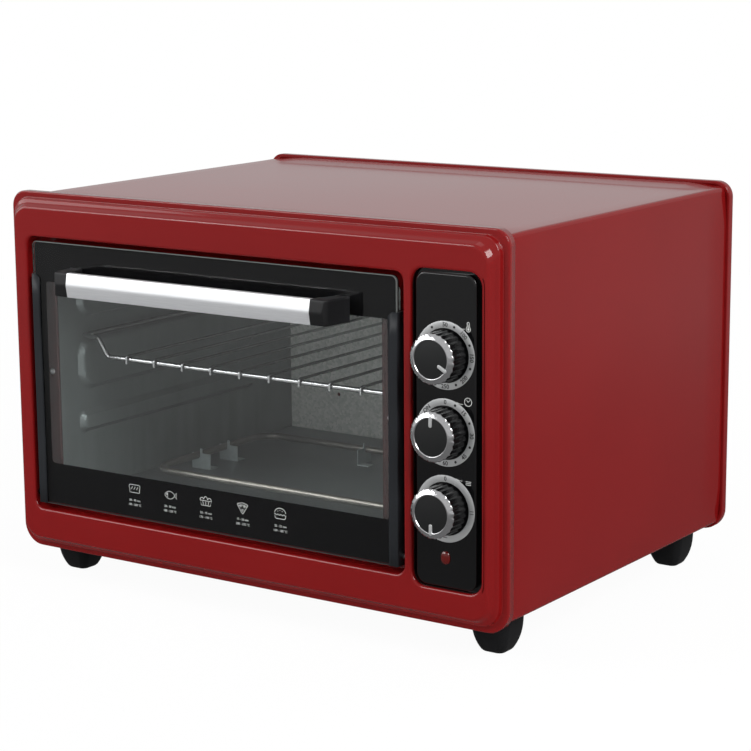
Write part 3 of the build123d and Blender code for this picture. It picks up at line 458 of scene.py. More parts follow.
# Feet: four moulded black posts, square with round corners, that taper and round over towards the floor.
# A screw in a deep recess holds each to the base.
foot_spots = [(x, y) for y in (38, 343) for x in (-226, 226)]
foot_side, foot_taper, foot_length = 36, 16, 34
foot_drop = np.array([0, 0.12, 0.25, 0.38, 0.5, 0.62, 0.73, 0.82, 0.9, 0.95])
foot_end = [
    (10.3, 5.2, -26.2), (9.6, 5.0, -26.75), (8.6, 4.6, -27),
    (4.6, 4.6, -27), (4.3, 4.3, -26.6), (4.3, 4.3, -7),
]


def foot(x, y):
    """Rounded squares stacked from the base down: the side shrinks by the cube of the drop, then the foot's
    lower edge rounds in, and a round recess runs back up from the floor."""
    side = foot_side - foot_taper * foot_drop**3
    rows = [(s / 2, s * 0.24, base_z - foot_length * d) for s, d in zip(side, foot_drop)] + foot_end
    rings = []
    for half, corner, z in rows:
        loop = rounded((x, x, y, y), half, corner, 8)
        rings.append(np.column_stack([loop, np.full(len(loop), z)]))
    return stacked(np.stack(rings), turned=True)


piece(
    "moulded_feet", [part for x, y in foot_spots for part in foot(x, y)], black_plastic, "oven",
    ["feet"],
)
foot_screws = [screw_head((x, y, -7.05), (0, 0, -1), 3.6, 2.1) for x, y in foot_spots]
piece("foot_screw_heads", foot_screws, plated_steel, "oven", ["foot_screws"])

# Cavity liner: galvanised steel sheets. The back wall shows its fine zinc spangle, and the rolled side
# walls are smoother. The back wall's sheet is also much paler and less metallic than the side walls'. This is
# partly its spangle and partly painted light that brightens the shaded back of the cavity. Each side wall
# has three pressed bands, and the grooves between them are the runners.
zinc_coat = Finish("galvanised_steel")
rolling = zinc_coat.grain(7, 3, (1.4, 1.4, 14))
zinc_cloud = zinc_coat.grain(45, 2)
zinc_speck = zinc_coat.grain(1.3, 2)
galvanised_steel = zinc_coat.surface({
    "Base Color": zinc_coat.mix(
        0.45 * rolling + 0.3 * zinc_cloud + 0.25 * zinc_speck, colour(90, 98, 99), colour(135, 143, 142)
    ),
    "Metallic": 0.6,
    "Roughness": 0.36 + 0.14 * rolling,
    "Specular IOR Level": 0.3,
    "Normal": zinc_coat.bump(zinc_speck, 0.006),
})
# Painted light: the back wall's zinc runs from pale grey to near white, paler than the side walls', to
# brighten the shaded back of the cavity.
spangle = Finish("spangled_steel_with_painted_light")
crystal = spangle.node("TexVoronoi", {}, {"Vector": spangle.place(), "Scale": 420})
shade = spangle.node("SeparateColor", {}, {0: crystal[1]})
frost = 0.7 * shade[0] + 0.3 * spangle.grain(0.9, 2)
spangled_steel_with_painted_light = spangle.surface({
    "Base Color": spangle.mix(frost, colour(206, 213, 206), colour(255, 255, 252)),
    "Metallic": 0.1,
    "Roughness": 0.34 + 0.2 * shade[1],
    "Specular IOR Level": 0.3,
    "Normal": spangle.bump(spangle.grain(0.8, 2), 0.008),
})

wall_y = np.linspace(4.1, 358.5, 150)
wall_z = np.linspace(47, 278.3, 100)
band_y0, band_y1, flank, band_lift = 35.1, 295.5, 3.6, 5
bands = [(101.5, 121.0), (141.0, 189.5), (207.5, 252.0)]


def pressed_wall(wall_x, inward):
    """A sheet at x whose bands stand out: each band's lift is a smooth step of the distance inside a
    rounded rectangle, over its flank."""
    y, z = np.meshgrid(wall_y, wall_z, indexing="ij")
    lift = np.zeros_like(y)
    for z0, z1 in bands:
        half_y, half_z = (band_y1 - band_y0) / 2, (z1 - z0) / 2
        corner = half_z * 0.8
        dy = np.abs(y - (band_y1 + band_y0) / 2) - half_y + corner
        dz = np.abs(z - (z0 + z1) / 2) - half_z + corner
        inner = corner - np.hypot(np.maximum(dy, 0), np.maximum(dz, 0)) - np.minimum(np.maximum(dy, dz), 0)
        share = np.clip(inner / flank, 0, 1)
        lift = np.maximum(lift, band_lift * share * share * (3 - 2 * share))
    return grid(np.stack([wall_x + inward * lift, y, z], -1), turned=inward > 0)


for side, wall_x, inward in (("left", -220, 1), ("right", 155, -1)):
    wall = piece(
        f"pressed_{side}_wall", [pressed_wall(wall_x, inward)], galvanised_steel, "oven",
        [f"cavity_{side}_wall"],
    )
    sheet_metal(wall, 0.6)


def dress(material, *nodes):
    """Gives a material to CAD nodes whose shape stays."""
    for node in nodes:
        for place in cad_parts[node].material_slots:
            place.material = material


dress(galvanised_steel, "cavity_floor", "cavity_roof", "heat_shield", "control_carrier", "hinge_plates")
dress(galvanised_steel, "base_panel")
dress(spangled_steel_with_painted_light, "cavity_back_wall")

# Heaters: U-shaped steel-sheathed tubes, dull grey-brown from the heat, each carried by three bright
# notched tabs. Their ends pass ceramic collars in the right wall and end in brass studs.
# Painted reflection: the tabs' pale grey-blue, barely metallic colour stands in, in part, for the bright
# reflections of bare metal tabs.
bright_tab = mottled("bright_tab", 6, (156, 168, 170), (186, 196, 196), (0.34, 0.44), metal=0.2, gloss=0.4)
dress(bright_tab, "lower_heater_brackets", "upper_heater_brackets")
heater_sheath = mottled(
    "heater_sheath", 26, (104, 102, 98), (146, 143, 137), (0.34, 0.54), 0.01,
    metal=0.9, detail=3, fine=(0.6, 2),
)
dress(heater_sheath, "lower_heater", "upper_heater")
ceramic = mottled("ceramic", 1.2, (220, 214, 200), (234, 230, 220), (0.25, 0.45), 0.01)
dress(ceramic, "heater_seats")
brass = mottled(
    "brass", 2.0, (168, 132, 70), (200, 164, 96), (0.25, 0.4), 0.004, metal=1, detail=3, fine=(0.5, 2)
)
dress(brass, "heater_terminals", "hinge_bushes")

# Wire rack: bent round bar and thinner cross wires, welded together and chrome plated. The plating is
# slightly dull from use.
chromed_wire = mottled("chromed_wire", 3.0, (138, 140, 142), (166, 167, 168), (0.2, 0.3), 0.01, metal=1)
dress(chromed_wire, "wire_rack")

# Door glass: one toughened pane, drilled for the handle's screws. Its edges are ground, and the front bevel
# is matt grey.
pane = Finish("dark_glass")
roller = pane.grain(60, 1)
shaded = pane.node("BsdfPrincipled", {}, {
    "Base Color": (0.99, 1.0, 0.995, 1),
    "Roughness": 0.0,
    "IOR": 1.4,
    "Transmission Weight": 1.0,
    "Normal": pane.bump(roller, 0.004),
})[0]
clear = pane.node("BsdfTransparent", {}, {"Color": (0.985, 0.995, 0.99, 1)})[0]
shadow_ray = pane.node("LightPath", {}, {})[1]
through = pane.node("MixShader", {}, {0: shadow_ray, 1: shaded, 2: clear})[0]
pane.node("OutputMaterial", {}, {"Surface": through})
dark_glass = pane.owner

glass_low = 45.3
glass_rect = (-227.6, 162.6, glass_low, 283.8)
glass_front, glass_back, glass_corner, grind = -13.0, -9.0, 5, 0.5
handle_z, drill = 252.6, 2.3
drill_rects = [(x - drill, x + drill, handle_z - drill, handle_z + drill) for x in (-172.5, 107.5)]
drill_loops = [rounded(rect, 0, drill, 5) for rect in drill_rects]
glass_line = np.array([
    (-grind, glass_back), (0, glass_back - grind), (0, glass_front + grind), (-grind, glass_front)
])
drill_line = np.array([(0, glass_front), (0, glass_back)])
glass_loop = rounded(glass_rect, -grind, glass_corner - grind)
piece(
    "toughened_pane",
    [carried(glass_rect, glass_line, glass_corner)]
    + [flat(glass_loop, drill_loops, y, y == glass_back) for y in (glass_front, glass_back)]
    + [carried(rect, drill_line, drill, bend=5) for rect in drill_rects],
    dark_glass, "door", ["door_glass"],
)
ground_edge = mottled("ground_edge", 0.6, (74, 79, 78), (98, 104, 102), (0.5, 0.65))
ground_line = np.array([(0.03, glass_front + 2), (0.03, glass_front + 0.48), (-0.52, glass_front - 0.03)])
piece(
    "ground_glass_edge", [carried(glass_rect, ground_line, glass_corner)], ground_edge, "door"
)

# Door print: a black enamel border fired on the back of the pane, round a clear window. It covers the
# places where the channels and the handle are fixed.
fired_black = mottled("fired_black_print", 0.5, (3, 3, 4), (6, 6, 7), (0.5, 0.65), 0.005, gloss=0.03)
window = rounded((-214.5, 153, 83, 248), 0, 3, 6)
piece(
    "door_border_print", [flat(rounded(glass_rect, -0.9, 4.2), [window], glass_back - 0.08)],
    fired_black, "door",
)

# Door symbols: five plain food pictures with their times and heats, printed in white on the lower border.
# Their lines are flat ribbons.
white_print = mottled("white_print", 0.3, (196, 198, 196), (216, 217, 215), (0.5, 0.6))


def arc(x, z, wide, high, start, end, steps=14):
    """Part of an ellipse about (x, z), between two angles in degrees anticlockwise from the right."""
    turn = np.radians(np.linspace(start, end, steps))
    return np.stack([x + wide * np.cos(turn), z + high * np.sin(turn)], -1)


def leftward(line, closed):
    """The direction to the left of a line at each of its points, square to its way there."""
    way = np.roll(line, -1, 0) - np.roll(line, 1, 0) if closed else np.gradient(line, axis=0)
    return np.stack([-way[:, 1], way[:, 0]], -1) / np.linalg.norm(way, axis=1, keepdims=True)


def stroke(line, width, y, closed=False):
    """A flat ribbon along a line across the front: each point has one on both sides of it."""
    line = np.asarray(line, float)
    side = leftward(line, closed) * width / 2
    ribbon = np.stack([at_depth(line + side, y), at_depth(line - side, y)])
    return grid(ribbon, (False, closed), turned=True)


def figures(words, x, z, high, y, turn=0, bold=0.0):
    """Flat figures of a height, centred at (x, z) and turned clockwise by an angle in degrees. Their strokes
    are thickened by a share of the figures' size."""
    written = bpy.data.curves.new("figures", "FONT")
    written.body, written.resolution_u, written.offset = words, 3, bold
    holder = in_scene("figures", written)
    mesh = bpy.data.meshes.new_from_object(holder)
    points = np.array([vertex.co[:2] for vertex in mesh.vertices])
    faces = [list(face.vertices) for face in mesh.polygons]
    bpy.data.objects.remove(holder)
    low, top = points.min(0), points.max(0)
    font_height = 0.69
    right, up = ((points - (low + top) / 2) * high / font_height).T
    c, s = cos(radians(turn)), sin(radians(turn))
    return at_depth(np.stack([x + right * c + up * s, z - right * s + up * c], -1), y), faces


def loaf():
    """A loaf from its side, with three cuts."""
    crust = softened([
        (-5, -3), (5, -3), (5, 0.6), (6, 1.4), (5, 3.4), (-5, 3.4), (-6, 1.4), (-5, 0.6)
    ], 0.9, 5, closed=True)
    cuts = [[(x - 0.8, -0.6), (x + 0.8, 1.9)] for x in (-2.8, 0, 2.8)]
    return [(crust, True)] + [(cut, False) for cut in cuts]


def fish():
    """A fish that looks left: its back and belly, a forked tail, an eye and a gill."""
    body_line = np.concatenate([arc(0, -3.5, 6, 6.6, 145, 35), arc(0, 3.5, 6, 6.6, -35, -145)])
    tail = [(4.6, 0), (7.2, 2.6), (6.4, 0), (7.2, -2.6)]
    eye, gill = arc(-3, 0.6, 0.5, 0.5, 0, 330), arc(-5, 0, 3, 3.2, -38, 38)
    return [(body_line, True), (tail, True), (eye, True), (gill, False)]


def tart():
    """A dish with three folds in its side and three humps of filling over its rim."""
    dish = [(-5.6, 0.4), (5.6, 0.4), (4.4, -3.4), (-4.4, -3.4)]
    humps = np.concatenate([
        arc(-3.7, 0.6, 1.9, 2.2, 180, 20), arc(0, 0.6, 2.0, 3.2, 160, 20), arc(3.7, 0.6, 1.9, 2.2, 160, 0)
    ])
    folds = [[(x, -0.2), (x * 0.8, -2.9)] for x in (-2.9, 0, 2.9)]
    return [(dish, True), (humps, False)] + [(line, False) for line in folds]


def wedge():
    """A slice with a curved crust over it and three rounds on it."""
    slice_line = softened([(-5.4, 2.6), (0, 4.0), (5.4, 2.6), (0, -5.2)], 0.7, 5, closed=True)
    rounds = [(arc(x, z, 0.7, 0.7, 0, 330), True) for x, z in ((-1.9, 1.2), (1.7, 0.9), (-0.1, -2.0))]
    return [(slice_line, True), (arc(0, -6.4, 8.4, 8.6, 118, 62), False)] + rounds


def bun():
    """A bun: its lower half, a wavy filling, a domed top and three seeds."""
    lower = softened([(-5.2, -1.4), (-4.6, -3.6), (4.6, -3.6), (5.2, -1.4)], [0.1, 1.3, 1.3, 0.1], 5)
    filling = [(x, -0.4 + 0.5 * sin(2.2 * x)) for x in np.linspace(-5.6, 5.6, 30)]
    dome = arc(0, 0.4, 5.4, 4.4, 172, 8)
    seeds = [[(x, z), (x + 0.7, z + 0.5)] for x, z in ((-2.6, 2.0), (-0.6, 3.0), (1.6, 2.2))]
    return [(line, False) for line in (lower, filling, dome, *seeds)]


print_y = glass_back - 0.16
picture_z, minutes_z, heat_z = 71.5, 61.2, 57.2
picture_scale, picture_line, text_high = 1.1, 0.42, 1.9
symbol_parts = []
for index, (draw, minutes, heat) in enumerate((
    (loaf, "30 - 40 min", "180 - 200 °C"),
    (fish, "20 - 30 min", "180 - 220 °C"),
    (tart, "25 - 35 min", "170 - 190 °C"),
    (wedge, "15 - 20 min", "200 - 230 °C"),
    (bun, "20 - 25 min", "160 - 180 °C"),
)):
    x = -118 + 40.0 * index
    for line, closed in draw():
        placed = np.asarray(line) * picture_scale + (x, picture_z)
        symbol_parts.append(stroke(placed, picture_line, print_y, closed))
    symbol_parts.append(figures(minutes, x, minutes_z, text_high, print_y))
    symbol_parts.append(figures(heat, x, heat_z, text_high, print_y))
piece("door_symbols", symbol_parts, white_print, "door")

# Door channels: dark painted steel strips folded round the pane's sides, tinted red on the leaf behind the
# glass. Their front lips end in a cut corner, and a bottom rail joins them behind the glass.
painted = Finish("dark_steel")
paint_peel = painted.grain(0.9, 2)
depth = painted.node("SeparateXYZ", {}, {0: painted.place()})[1]
leaf = painted.ramp(depth, -0.1788, -0.1783)
steel_tone = painted.mix(painted.grain(50, 2), colour(30, 32, 35), colour(38, 40, 43))
dark_steel = painted.surface({
    "Base Color": painted.mix(leaf, steel_tone, colour(34, 8, 8)),
    "Roughness": 0.34 + 0.1 * paint_peel,
    "Specular IOR Level": 0.15,
    "Normal": painted.bump(paint_peel, 0.008),
})
channel_top, lip_width, leaf_width = 254.3, 8, 20
lip_y, leaf_y, lip_cut = -14, -2, 3.5


def channel(edge_x, inward):
    """A folded line in plan, from the front lip round the pane's edge to the rear leaf, carried from the
    bottom to the top: the top falls at 45 degrees over the lip's last 3.5 mm."""
    outer_x = edge_x - inward
    plan = [
        (edge_x + inward * lip_width, lip_y), (outer_x, lip_y), (outer_x, leaf_y),
        (edge_x + inward * leaf_width, leaf_y),
    ]
    plan = divided(softened(plan, [0.1, 0.9, 0.9, 0.1], 5), 2.5)
    past_cut = (plan[:, 0] - edge_x) * inward - lip_width + lip_cut
    top = channel_top - np.clip(past_cut, 0, None) * (plan[:, 1] < lip_y + 2)
    z = glass_low + (top - glass_low) * np.linspace(0, 1, 12)[:, None]
    rows = np.stack([np.broadcast_to(plan[:, k], z.shape) for k in (0, 1)] + [z], -1)
    return grid(rows, turned=inward > 0)


for side, edge_x, inward in (("left", glass_rect[0], 1), ("right", glass_rect[1], -1)):
    strip = piece(
        f"folded_channel_{side}", [channel(edge_x, inward)], dark_steel, "door",
        [f"door_channel_{side}"],
    )
    sheet_metal(strip, 1.0)
channel_screws = [screw_head((x, -3.05, 165.8), (0, -1, 0), 2.6, 1.1) for x in (-215.6, 150.6)]
piece("channel_screw_heads", channel_screws, plated_steel, "door")
dress(dark_steel, "door_bottom_rail")

# Door packings, hinge pins and spring: glass-fibre strips behind the pane's sides, a steel pin at each lower
# corner, and a torsion spring round the left bush.
felt = Finish("packing_felt")
fibre = felt.grain(0.5, 3, (1, 1, 6))
packing_felt = felt.surface({
    "Base Color": felt.mix(fibre, colour(52, 50, 47), colour(92, 90, 86)),
    "Roughness": 0.9,
    "Sheen Weight": 0.3,
    "Normal": felt.bump(fibre, 0.25),
})
dress(packing_felt, "door_packings")
dress(
    plated_steel, "door_hinge_pins", "handle_screws", "temperature_shaft", "timer_shaft", "selector_shaft"
)
spring_steel = mottled(
    "spring_steel", 3, (70, 68, 66), (104, 102, 100), (0.25, 0.45), 0.006, metal=1, fine=(0.5, 2)
)
dress(spring_steel, "door_spring")

# Handle: an aluminium facing with a shallow ridge, brushed along its length, over a moulded black core. A
# moulded post at each end turns the bar back to the glass.
brushing = Finish("brushed_aluminium")
scratches = brushing.grain(0.22, 3, (90, 1, 1), 0.6)
streaks = brushing.grain(1.6, 2, (60, 1, 1))
brushed_aluminium = brushing.surface({
    "Base Color": brushing.mix(scratches, colour(188, 190, 193), colour(230, 231, 233)),
    "Metallic": 0.6,
    "Roughness": 0.34 + 0.14 * streaks,
    "Normal": brushing.bump(scratches, 0.012),
})
bar_x0, bar_x1, handle_y = -162.5, 97.5, -42.0
half_high, ridge, facing_sheet = 10.6, 2, 1.4
bar_z0, bar_z1 = handle_z - half_high, handle_z + half_high
core_z0, core_z1 = bar_z0 + facing_sheet, bar_z1 - facing_sheet
edge_y, facing_end = handle_y + ridge, handle_y + 7
core_y, core_edge_y, core_back, core_end = handle_y + facing_sheet, edge_y + facing_sheet, -32.0, -30.5
foot_y, post_edge = glass_front - 0.05, 1.5


def bar(section, x0, x1):
    """A closed (y, z) section, anticlockwise with y to the right, carried along x and shut at both ends."""
    return stacked(np.stack([np.column_stack([np.full(len(section), x), section]) for x in (x0, x1)]))


facing = softened([
    (handle_y, handle_z), (edge_y, bar_z0), (facing_end, bar_z0), (facing_end, core_z0),
    (core_edge_y, core_z0), (core_y, handle_z), (core_edge_y, core_z1),
    (facing_end, core_z1), (facing_end, bar_z1), (edge_y, bar_z1),
], [1.6, 0.5, 0.2, 0.2, 0.4, 1.0, 0.4, 0.2, 0.2, 0.5], 5, closed=True)
piece(
    "ridged_facing", bar(facing, bar_x0, bar_x1), brushed_aluminium, "door",
    ["handle_facing"],
)
core = softened([
    (core_y, handle_z), (core_edge_y, core_z0), (core_back, core_z0), (core_end, handle_z),
    (core_back, core_z1), (core_edge_y, core_z1),
], [0.8, 0.3, 1.4, 3.0, 1.4, 0.3], 5, closed=True)
piece("moulded_core", bar(core, bar_x0, bar_x1), black_plastic, "door", ["handle_core"])


def end_post(bar_x, out):
    """The post's plan is a loop in x and y. At each height the loop's front is held behind the ridge, which
    falls back over half the height, and near the top and bottom it draws in round a small edge."""
    plan = [
        (0, handle_y), (13, handle_y), (15.5, -37.5), (18.6, -17.5),
        (20, foot_y), (6, foot_y), (2.2, -27.5), (0, core_end),
    ]
    plan = softened(plan, [0.1, 1.7, 1.6, 3.0, 0.3, 0.5, 3.5, 1.0], 6, closed=True)
    plan = divided(np.concatenate([plan, plan[:1]]), 1.5)[:-1]
    turn = np.linspace(pi / 2, 0, 6)
    edge_levels = [(post_edge * (1 - cos(t)), half_high - post_edge * (1 - sin(t))) for t in turn]
    straight = half_high - post_edge
    levels = edge_levels + [(0, h) for h in np.linspace(straight, -straight, 13)[1:-1]]
    levels += [(draw, -h) for draw, h in edge_levels[::-1]]
    share = np.clip((foot_y - plan[:, 1]) / 2.5, 0, 1) * np.clip((plan[:, 0] - 1) / 4, 0, 1)
    inset = leftward(plan, True) * share[:, None]
    rings = []
    for draw, h in levels:
        loop = plan + draw * inset
        held = np.maximum(loop[:, 1], handle_y + ridge * abs(h) / half_high + draw * 0.6)
        rings.append(np.column_stack([bar_x + out * loop[:, 0], held, np.full(len(loop), handle_z + h)]))
    return stacked(np.stack(rings), turned=out > 0)


for side, bar_x, out in (("left", bar_x0, -1), ("right", bar_x1, 1)):
    piece(
        f"moulded_post_{side}", end_post(bar_x, out), black_plastic, "door",
        [f"handle_post_{side}"], crease=50,
    )

# Control panel: a moulded black plate with a polished face and a bevelled edge, set in its opening with a
# dark gap round it.
gloss_black = mottled("gloss_black", 40, (4, 4, 5), (7, 7, 8), (0.08, 0.13), 0.004, fine=(2.5, 1))
plate_rect, plate_corner, plate_hold = (181.0, 237.4, 35.9, 289.8), 9, 0.4
plate_back, plate_inset, bevel, flange, flange_y = -5.7, 4.5, 1.2, 5.0, -8.2
plate_line = softened(
    [(0, plate_back), (0, face_y + bevel), (-bevel, face_y), (-plate_inset, face_y)], [0.1, 0.3, 0.3, 0.1]
)
flange_line = np.array([
    (flange, plate_back), (flange, flange_y), (-1.0, flange_y), (-1.0, plate_back), (flange, plate_back)
])
inner_corner = plate_corner - plate_hold * plate_inset
piece(
    "bevelled_plate",
    [
        carried(plate_rect, plate_line, plate_corner, plate_hold),
        flat(rounded(plate_rect, -plate_inset, inner_corner), [], face_y),
        flat(rounded(plate_rect, 0, plate_corner), [], plate_back, turned=True),
    ],
    gloss_black, "oven", ["control_panel"],
)
piece(
    "plate_flange", [carried(plate_rect, flange_line, plate_corner, plate_hold)], gloss_black,
    "oven",
)

# Dial rings: thin silver rings glued round the knobs, printed with black figures and dots. Beside each, a
# small white picture on the plate says what its knob sets.
dial_silver = mottled(
    "dial_silver", 0.3, (184, 186, 187), (204, 205, 205), (0.3, 0.4), 0.004, metal=0.6, gloss=0.2
)
black_print = mottled("black_print", 0.3, (8, 8, 9), (14, 14, 15), (0.5, 0.6))
knob_x = 209.2
knob_rows = {"temperature": 224.75, "timer": 162.85, "selector": 100.95}
ring_inner, ring_outer, ring_y = 21.9, 27.4, face_y - 0.3
ring_line = softened(
    [(ring_inner, face_y), (ring_inner, ring_y), (ring_outer, ring_y), (ring_outer, face_y)],
    [0.05, 0.1, 0.1, 0.05], 3,
)
ring_line = np.concatenate([ring_line, ring_line[:1]])
piece(
    "silver_dials", [turned_piece(knob_x, z, ring_line, 96) for z in knob_rows.values()], dial_silver, "oven",
    ["dial_rings"],
)
marks = {
    "temperature": [("50", 0), ("100", 45), ("150", 90), ("200", 135), ("250", 180)],
    "timer": [
        ("ON", -45), ("0", 0), ("15", 45), ("30", 90), ("45", 135), ("60", 180), ("75", 225), ("90", 270)
    ],
    "selector": [("0", 0)],
}
dots = {
    "temperature": (-30, 20, 66, 110, 156, 202), "timer": (22, 66, 112, 157, 202, 247), "selector": (),
}
mark_y, mark_radius, mark_high, dot_radius = ring_y - 0.03, 24.65, 3.4, 1.1
bar_half, bar_gap, line_width = 1.8, 1.1, 0.5


def on_ring(z, angle):
    """The middle of a mark at an angle in degrees, clockwise from the top of the dial at a height z."""
    return knob_x + mark_radius * sin(radians(angle)), z + mark_radius * cos(radians(angle))


mark_parts = []
for name, z in knob_rows.items():
    for words, angle in marks[name]:
        upright = angle if angle <= 90 else angle - 180
        mark_parts.append(figures(words, *on_ring(z, angle), mark_high, mark_y, upright, 0.022))
    for angle in dots[name]:
        dot = arc(*on_ring(z, angle), dot_radius, dot_radius, 0, 330, 12)
        mark_parts.append(flat(dot, [], mark_y))
for angle, bars in ((90, (-bar_gap, bar_gap)), (180, (bar_gap,)), (270, (-bar_gap,))):
    x, z = on_ring(knob_rows["selector"], angle)
    for lift in bars:
        mark_parts.append(stroke([(x - bar_half, z + lift), (x + bar_half, z + lift)], line_width, mark_y))
piece("dial_figures", mark_parts, black_print, "oven")

symbol_y, tube_x, bulb_z = face_y - 0.04, 230.5, 247.4
thermometer = np.concatenate([
    arc(tube_x, 252.0, 1.0, 1.0, 0, 180, 8), arc(tube_x, bulb_z, 2.0, 2.0, 120, 420, 20)
])
panel_parts = [
    stroke(thermometer, line_width, symbol_y, True),
    flat(arc(tube_x, bulb_z, 1.0, 1.0, 0, 330, 12), [], symbol_y),
    stroke([(tube_x, 248.2), (tube_x, 251.0)], line_width, symbol_y),
    stroke(arc(230.3, 189.7, 3.3, 3.3, 0, 348, 30), line_width, symbol_y, True),
    stroke([(228.9, 191.3), (230.3, 189.6), (232.0, 191.3)], line_width, symbol_y),
]
leaders = [[(x, z), (x + 3.2, z - 1.0), (x + 6.0, z - 1.0)] for x, z in (
    (221.0, 248.2), (219.6, 188.4), (219.0, 126.6)
)]
three_bars = [[(228.2, 124.4 + lift), (233.0, 124.4 + lift)] for lift in (-1.3, 0, 1.3)]
panel_parts += [stroke(line, 0.45, symbol_y) for line in leaders + three_bars]
piece("panel_symbols", panel_parts, white_print, "oven")

# Knobs: each is a fluted black barrel with a bright bezel, a satin black cap set into it, and a raised
# bright pointer. They turn with their shafts.
bright_chrome = mottled(
    "bright_chrome", 2.2, (200, 200, 202), (222, 222, 224), (0.09, 0.15), 0.004, metal=1
)
satin_black = mottled("satin_black", 0.25, (12, 13, 14), (18, 19, 20), (0.36, 0.46), 0.01, gloss=0.4)
barrel_black = mottled("barrel_black", 0.5, (6, 6, 7), (11, 11, 12), (0.2, 0.3), 0.004, gloss=0.3)
barrel_rows = [
    (0.0, -32.9, 0), (19.6, -32.9, 0.5), (19.9, -32.6, 0.8), (20.0, -31.5, 0.9), (20.2, -25, 0.9),
    (20.5, -17, 0.9), (20.6, -15.4, 0.8), (20.3, -14.9, 0.6), (17.0, -14.9, 0), (16.6, -16.0, 0),
    (0.0, -16.0, 0),
]
bezel_rows = [
    (14.9, -34.6, 0), (15.4, -35.85, 0), (15.6, -36.0, 0), (16.2, -36.0, 0), (16.6, -35.85, 0),
    (18.4, -34.75, 0.05), (20.2, -33.75, 0.4), (20.45, -33.4, 0.65), (20.4, -32.95, 0.7),
    (19.4, -32.9, 0.3), (14.9, -32.9, 0), (14.9, -34.6, 0),
]
cap_y, cap_radius, cap_sink, flutes = -36.0, 15.35, 0.7, 24
cap_rings = np.linspace(0, cap_radius, 12)
cap_line = np.column_stack([cap_rings, cap_y + cap_sink * (cap_rings / cap_radius) ** 2])
cap_line = np.concatenate([cap_line, [(15.5, -35.0), (15.5, -33.0), (0, -33.0)]])
pointer_line = np.array([(-0.05, -34.8), (-0.05, -36.1), (-0.2, -36.38), (-0.55, -36.5)])
pointer_corner = 1.45
pointed_at = {"temperature": 120, "timer": 0, "selector": 180}


def fluted(z, rows):
    """Rows of (radius, depth, flute depth) turned about a knob's axis: each radius falls by its flute depth
    times a wave with one crest for each flute."""
    rows = np.array(rows)
    turn = np.linspace(0, 2 * pi, 240, endpoint=False)
    wave = (0.5 + 0.5 * np.cos(flutes * turn)) ** 1.3
    return turned_piece(knob_x, z, rows[:, :2], len(turn), -rows[:, 2:] * wave)


def spun(shape, z, angle):
    """A shape turned clockwise about a knob's axis by an angle in degrees."""
    points, faces = shape
    c, s = cos(radians(angle)), sin(radians(angle))
    x, up = points[:, 0] - knob_x, points[:, 2] - z
    return np.stack([knob_x + x * c + up * s, points[:, 1], z - x * s + up * c], -1), faces


for name, z in knob_rows.items():
    pointer_rect = (knob_x - 1.5, knob_x + 1.5, z + 7.9, z + 17.1)
    pointer = [carried(pointer_rect, pointer_line, pointer_corner, bend=6)]
    for (by, y), turned in ((pointer_line[-1], False), (pointer_line[0], True)):
        pointer.append(flat(rounded(pointer_rect, by, pointer_corner + by, 6), [], y, turned))
    pointer = [spun(part, z, pointed_at[name]) for part in pointer]
    for look, node, parts, material, slot in (
        ("fluted_barrel", "barrel", [fluted(z, barrel_rows)], barrel_black, "black_plastic"),
        ("scalloped_bezel", "bezel", [fluted(z, bezel_rows)], bright_chrome, "bright_chrome"),
        ("domed_cap", "cap", [turned_piece(knob_x, z, cap_line, 96)], satin_black, "gloss_black"),
        ("raised_pointer", "pointer", pointer, dial_silver, "bright_chrome"),
    ):
        piece(f"{look}_{name}", parts, material, f"{name}_knob", [f"{name}_knob_{node}"])

# Indicator: an oblong domed lens moulded in red plastic and pressed into the panel. A small neon lamp
# stands behind it.
red_lens = mottled("red_lens", 6, (58, 5, 4), (92, 12, 8), (0.06, 0.11), 0.02, gloss=0.6, fine=(2.0, 1))
lens_z, lens_wide, lens_high, squareness, dome = 60.55, 4.3, 5.4, 2.3, 1.9


def lens():
    """Rings of an oblong superellipse: they shrink as a quarter circle from the panel to the dome's top."""
    turn = np.linspace(0, 2 * pi, 60, endpoint=False)
    across, up = [np.sign(c) * np.abs(c) ** (2 / squareness) for c in (np.cos(turn), np.sin(turn))]
    climb = np.linspace(0, 1, 12) * pi / 2
    shares = np.append([0.0, 1.0], np.cos(climb))
    depths = np.append([face_y + 0.1] * 2, face_y - 0.3 - dome * np.sin(climb))
    rings = [
        np.stack([knob_x + lens_wide * s * across, np.full(60, y), lens_z + lens_high * s * up], -1)
        for s, y in zip(shares, depths)
    ]
    return grid(np.stack(rings), (False, True))


piece("domed_lens", [lens()], red_lens, "oven", ["indicator_lens"])
lamp_glass = mottled("lamp_glass", 4, (212, 196, 178), (232, 222, 206), (0.1, 0.2), 0.01)
dress(lamp_glass, "indicator_lamp")

# Controls: thermostat, timer and selector in moulded phenolic cases, with silicone leads from a terminal
# block on the base.
control_case = mottled("control_case", 0.9, (70, 52, 38), (98, 74, 56), (0.4, 0.55), 0.02, detail=3)
dress(control_case, "thermostat", "timer", "selector_switch")
dress(black_plastic, "terminal_block")
lead_insulation = mottled("lead_insulation", 1.0, (206, 200, 184), (222, 217, 204), (0.5, 0.6), 0.02)
dress(lead_insulation, "control_leads")
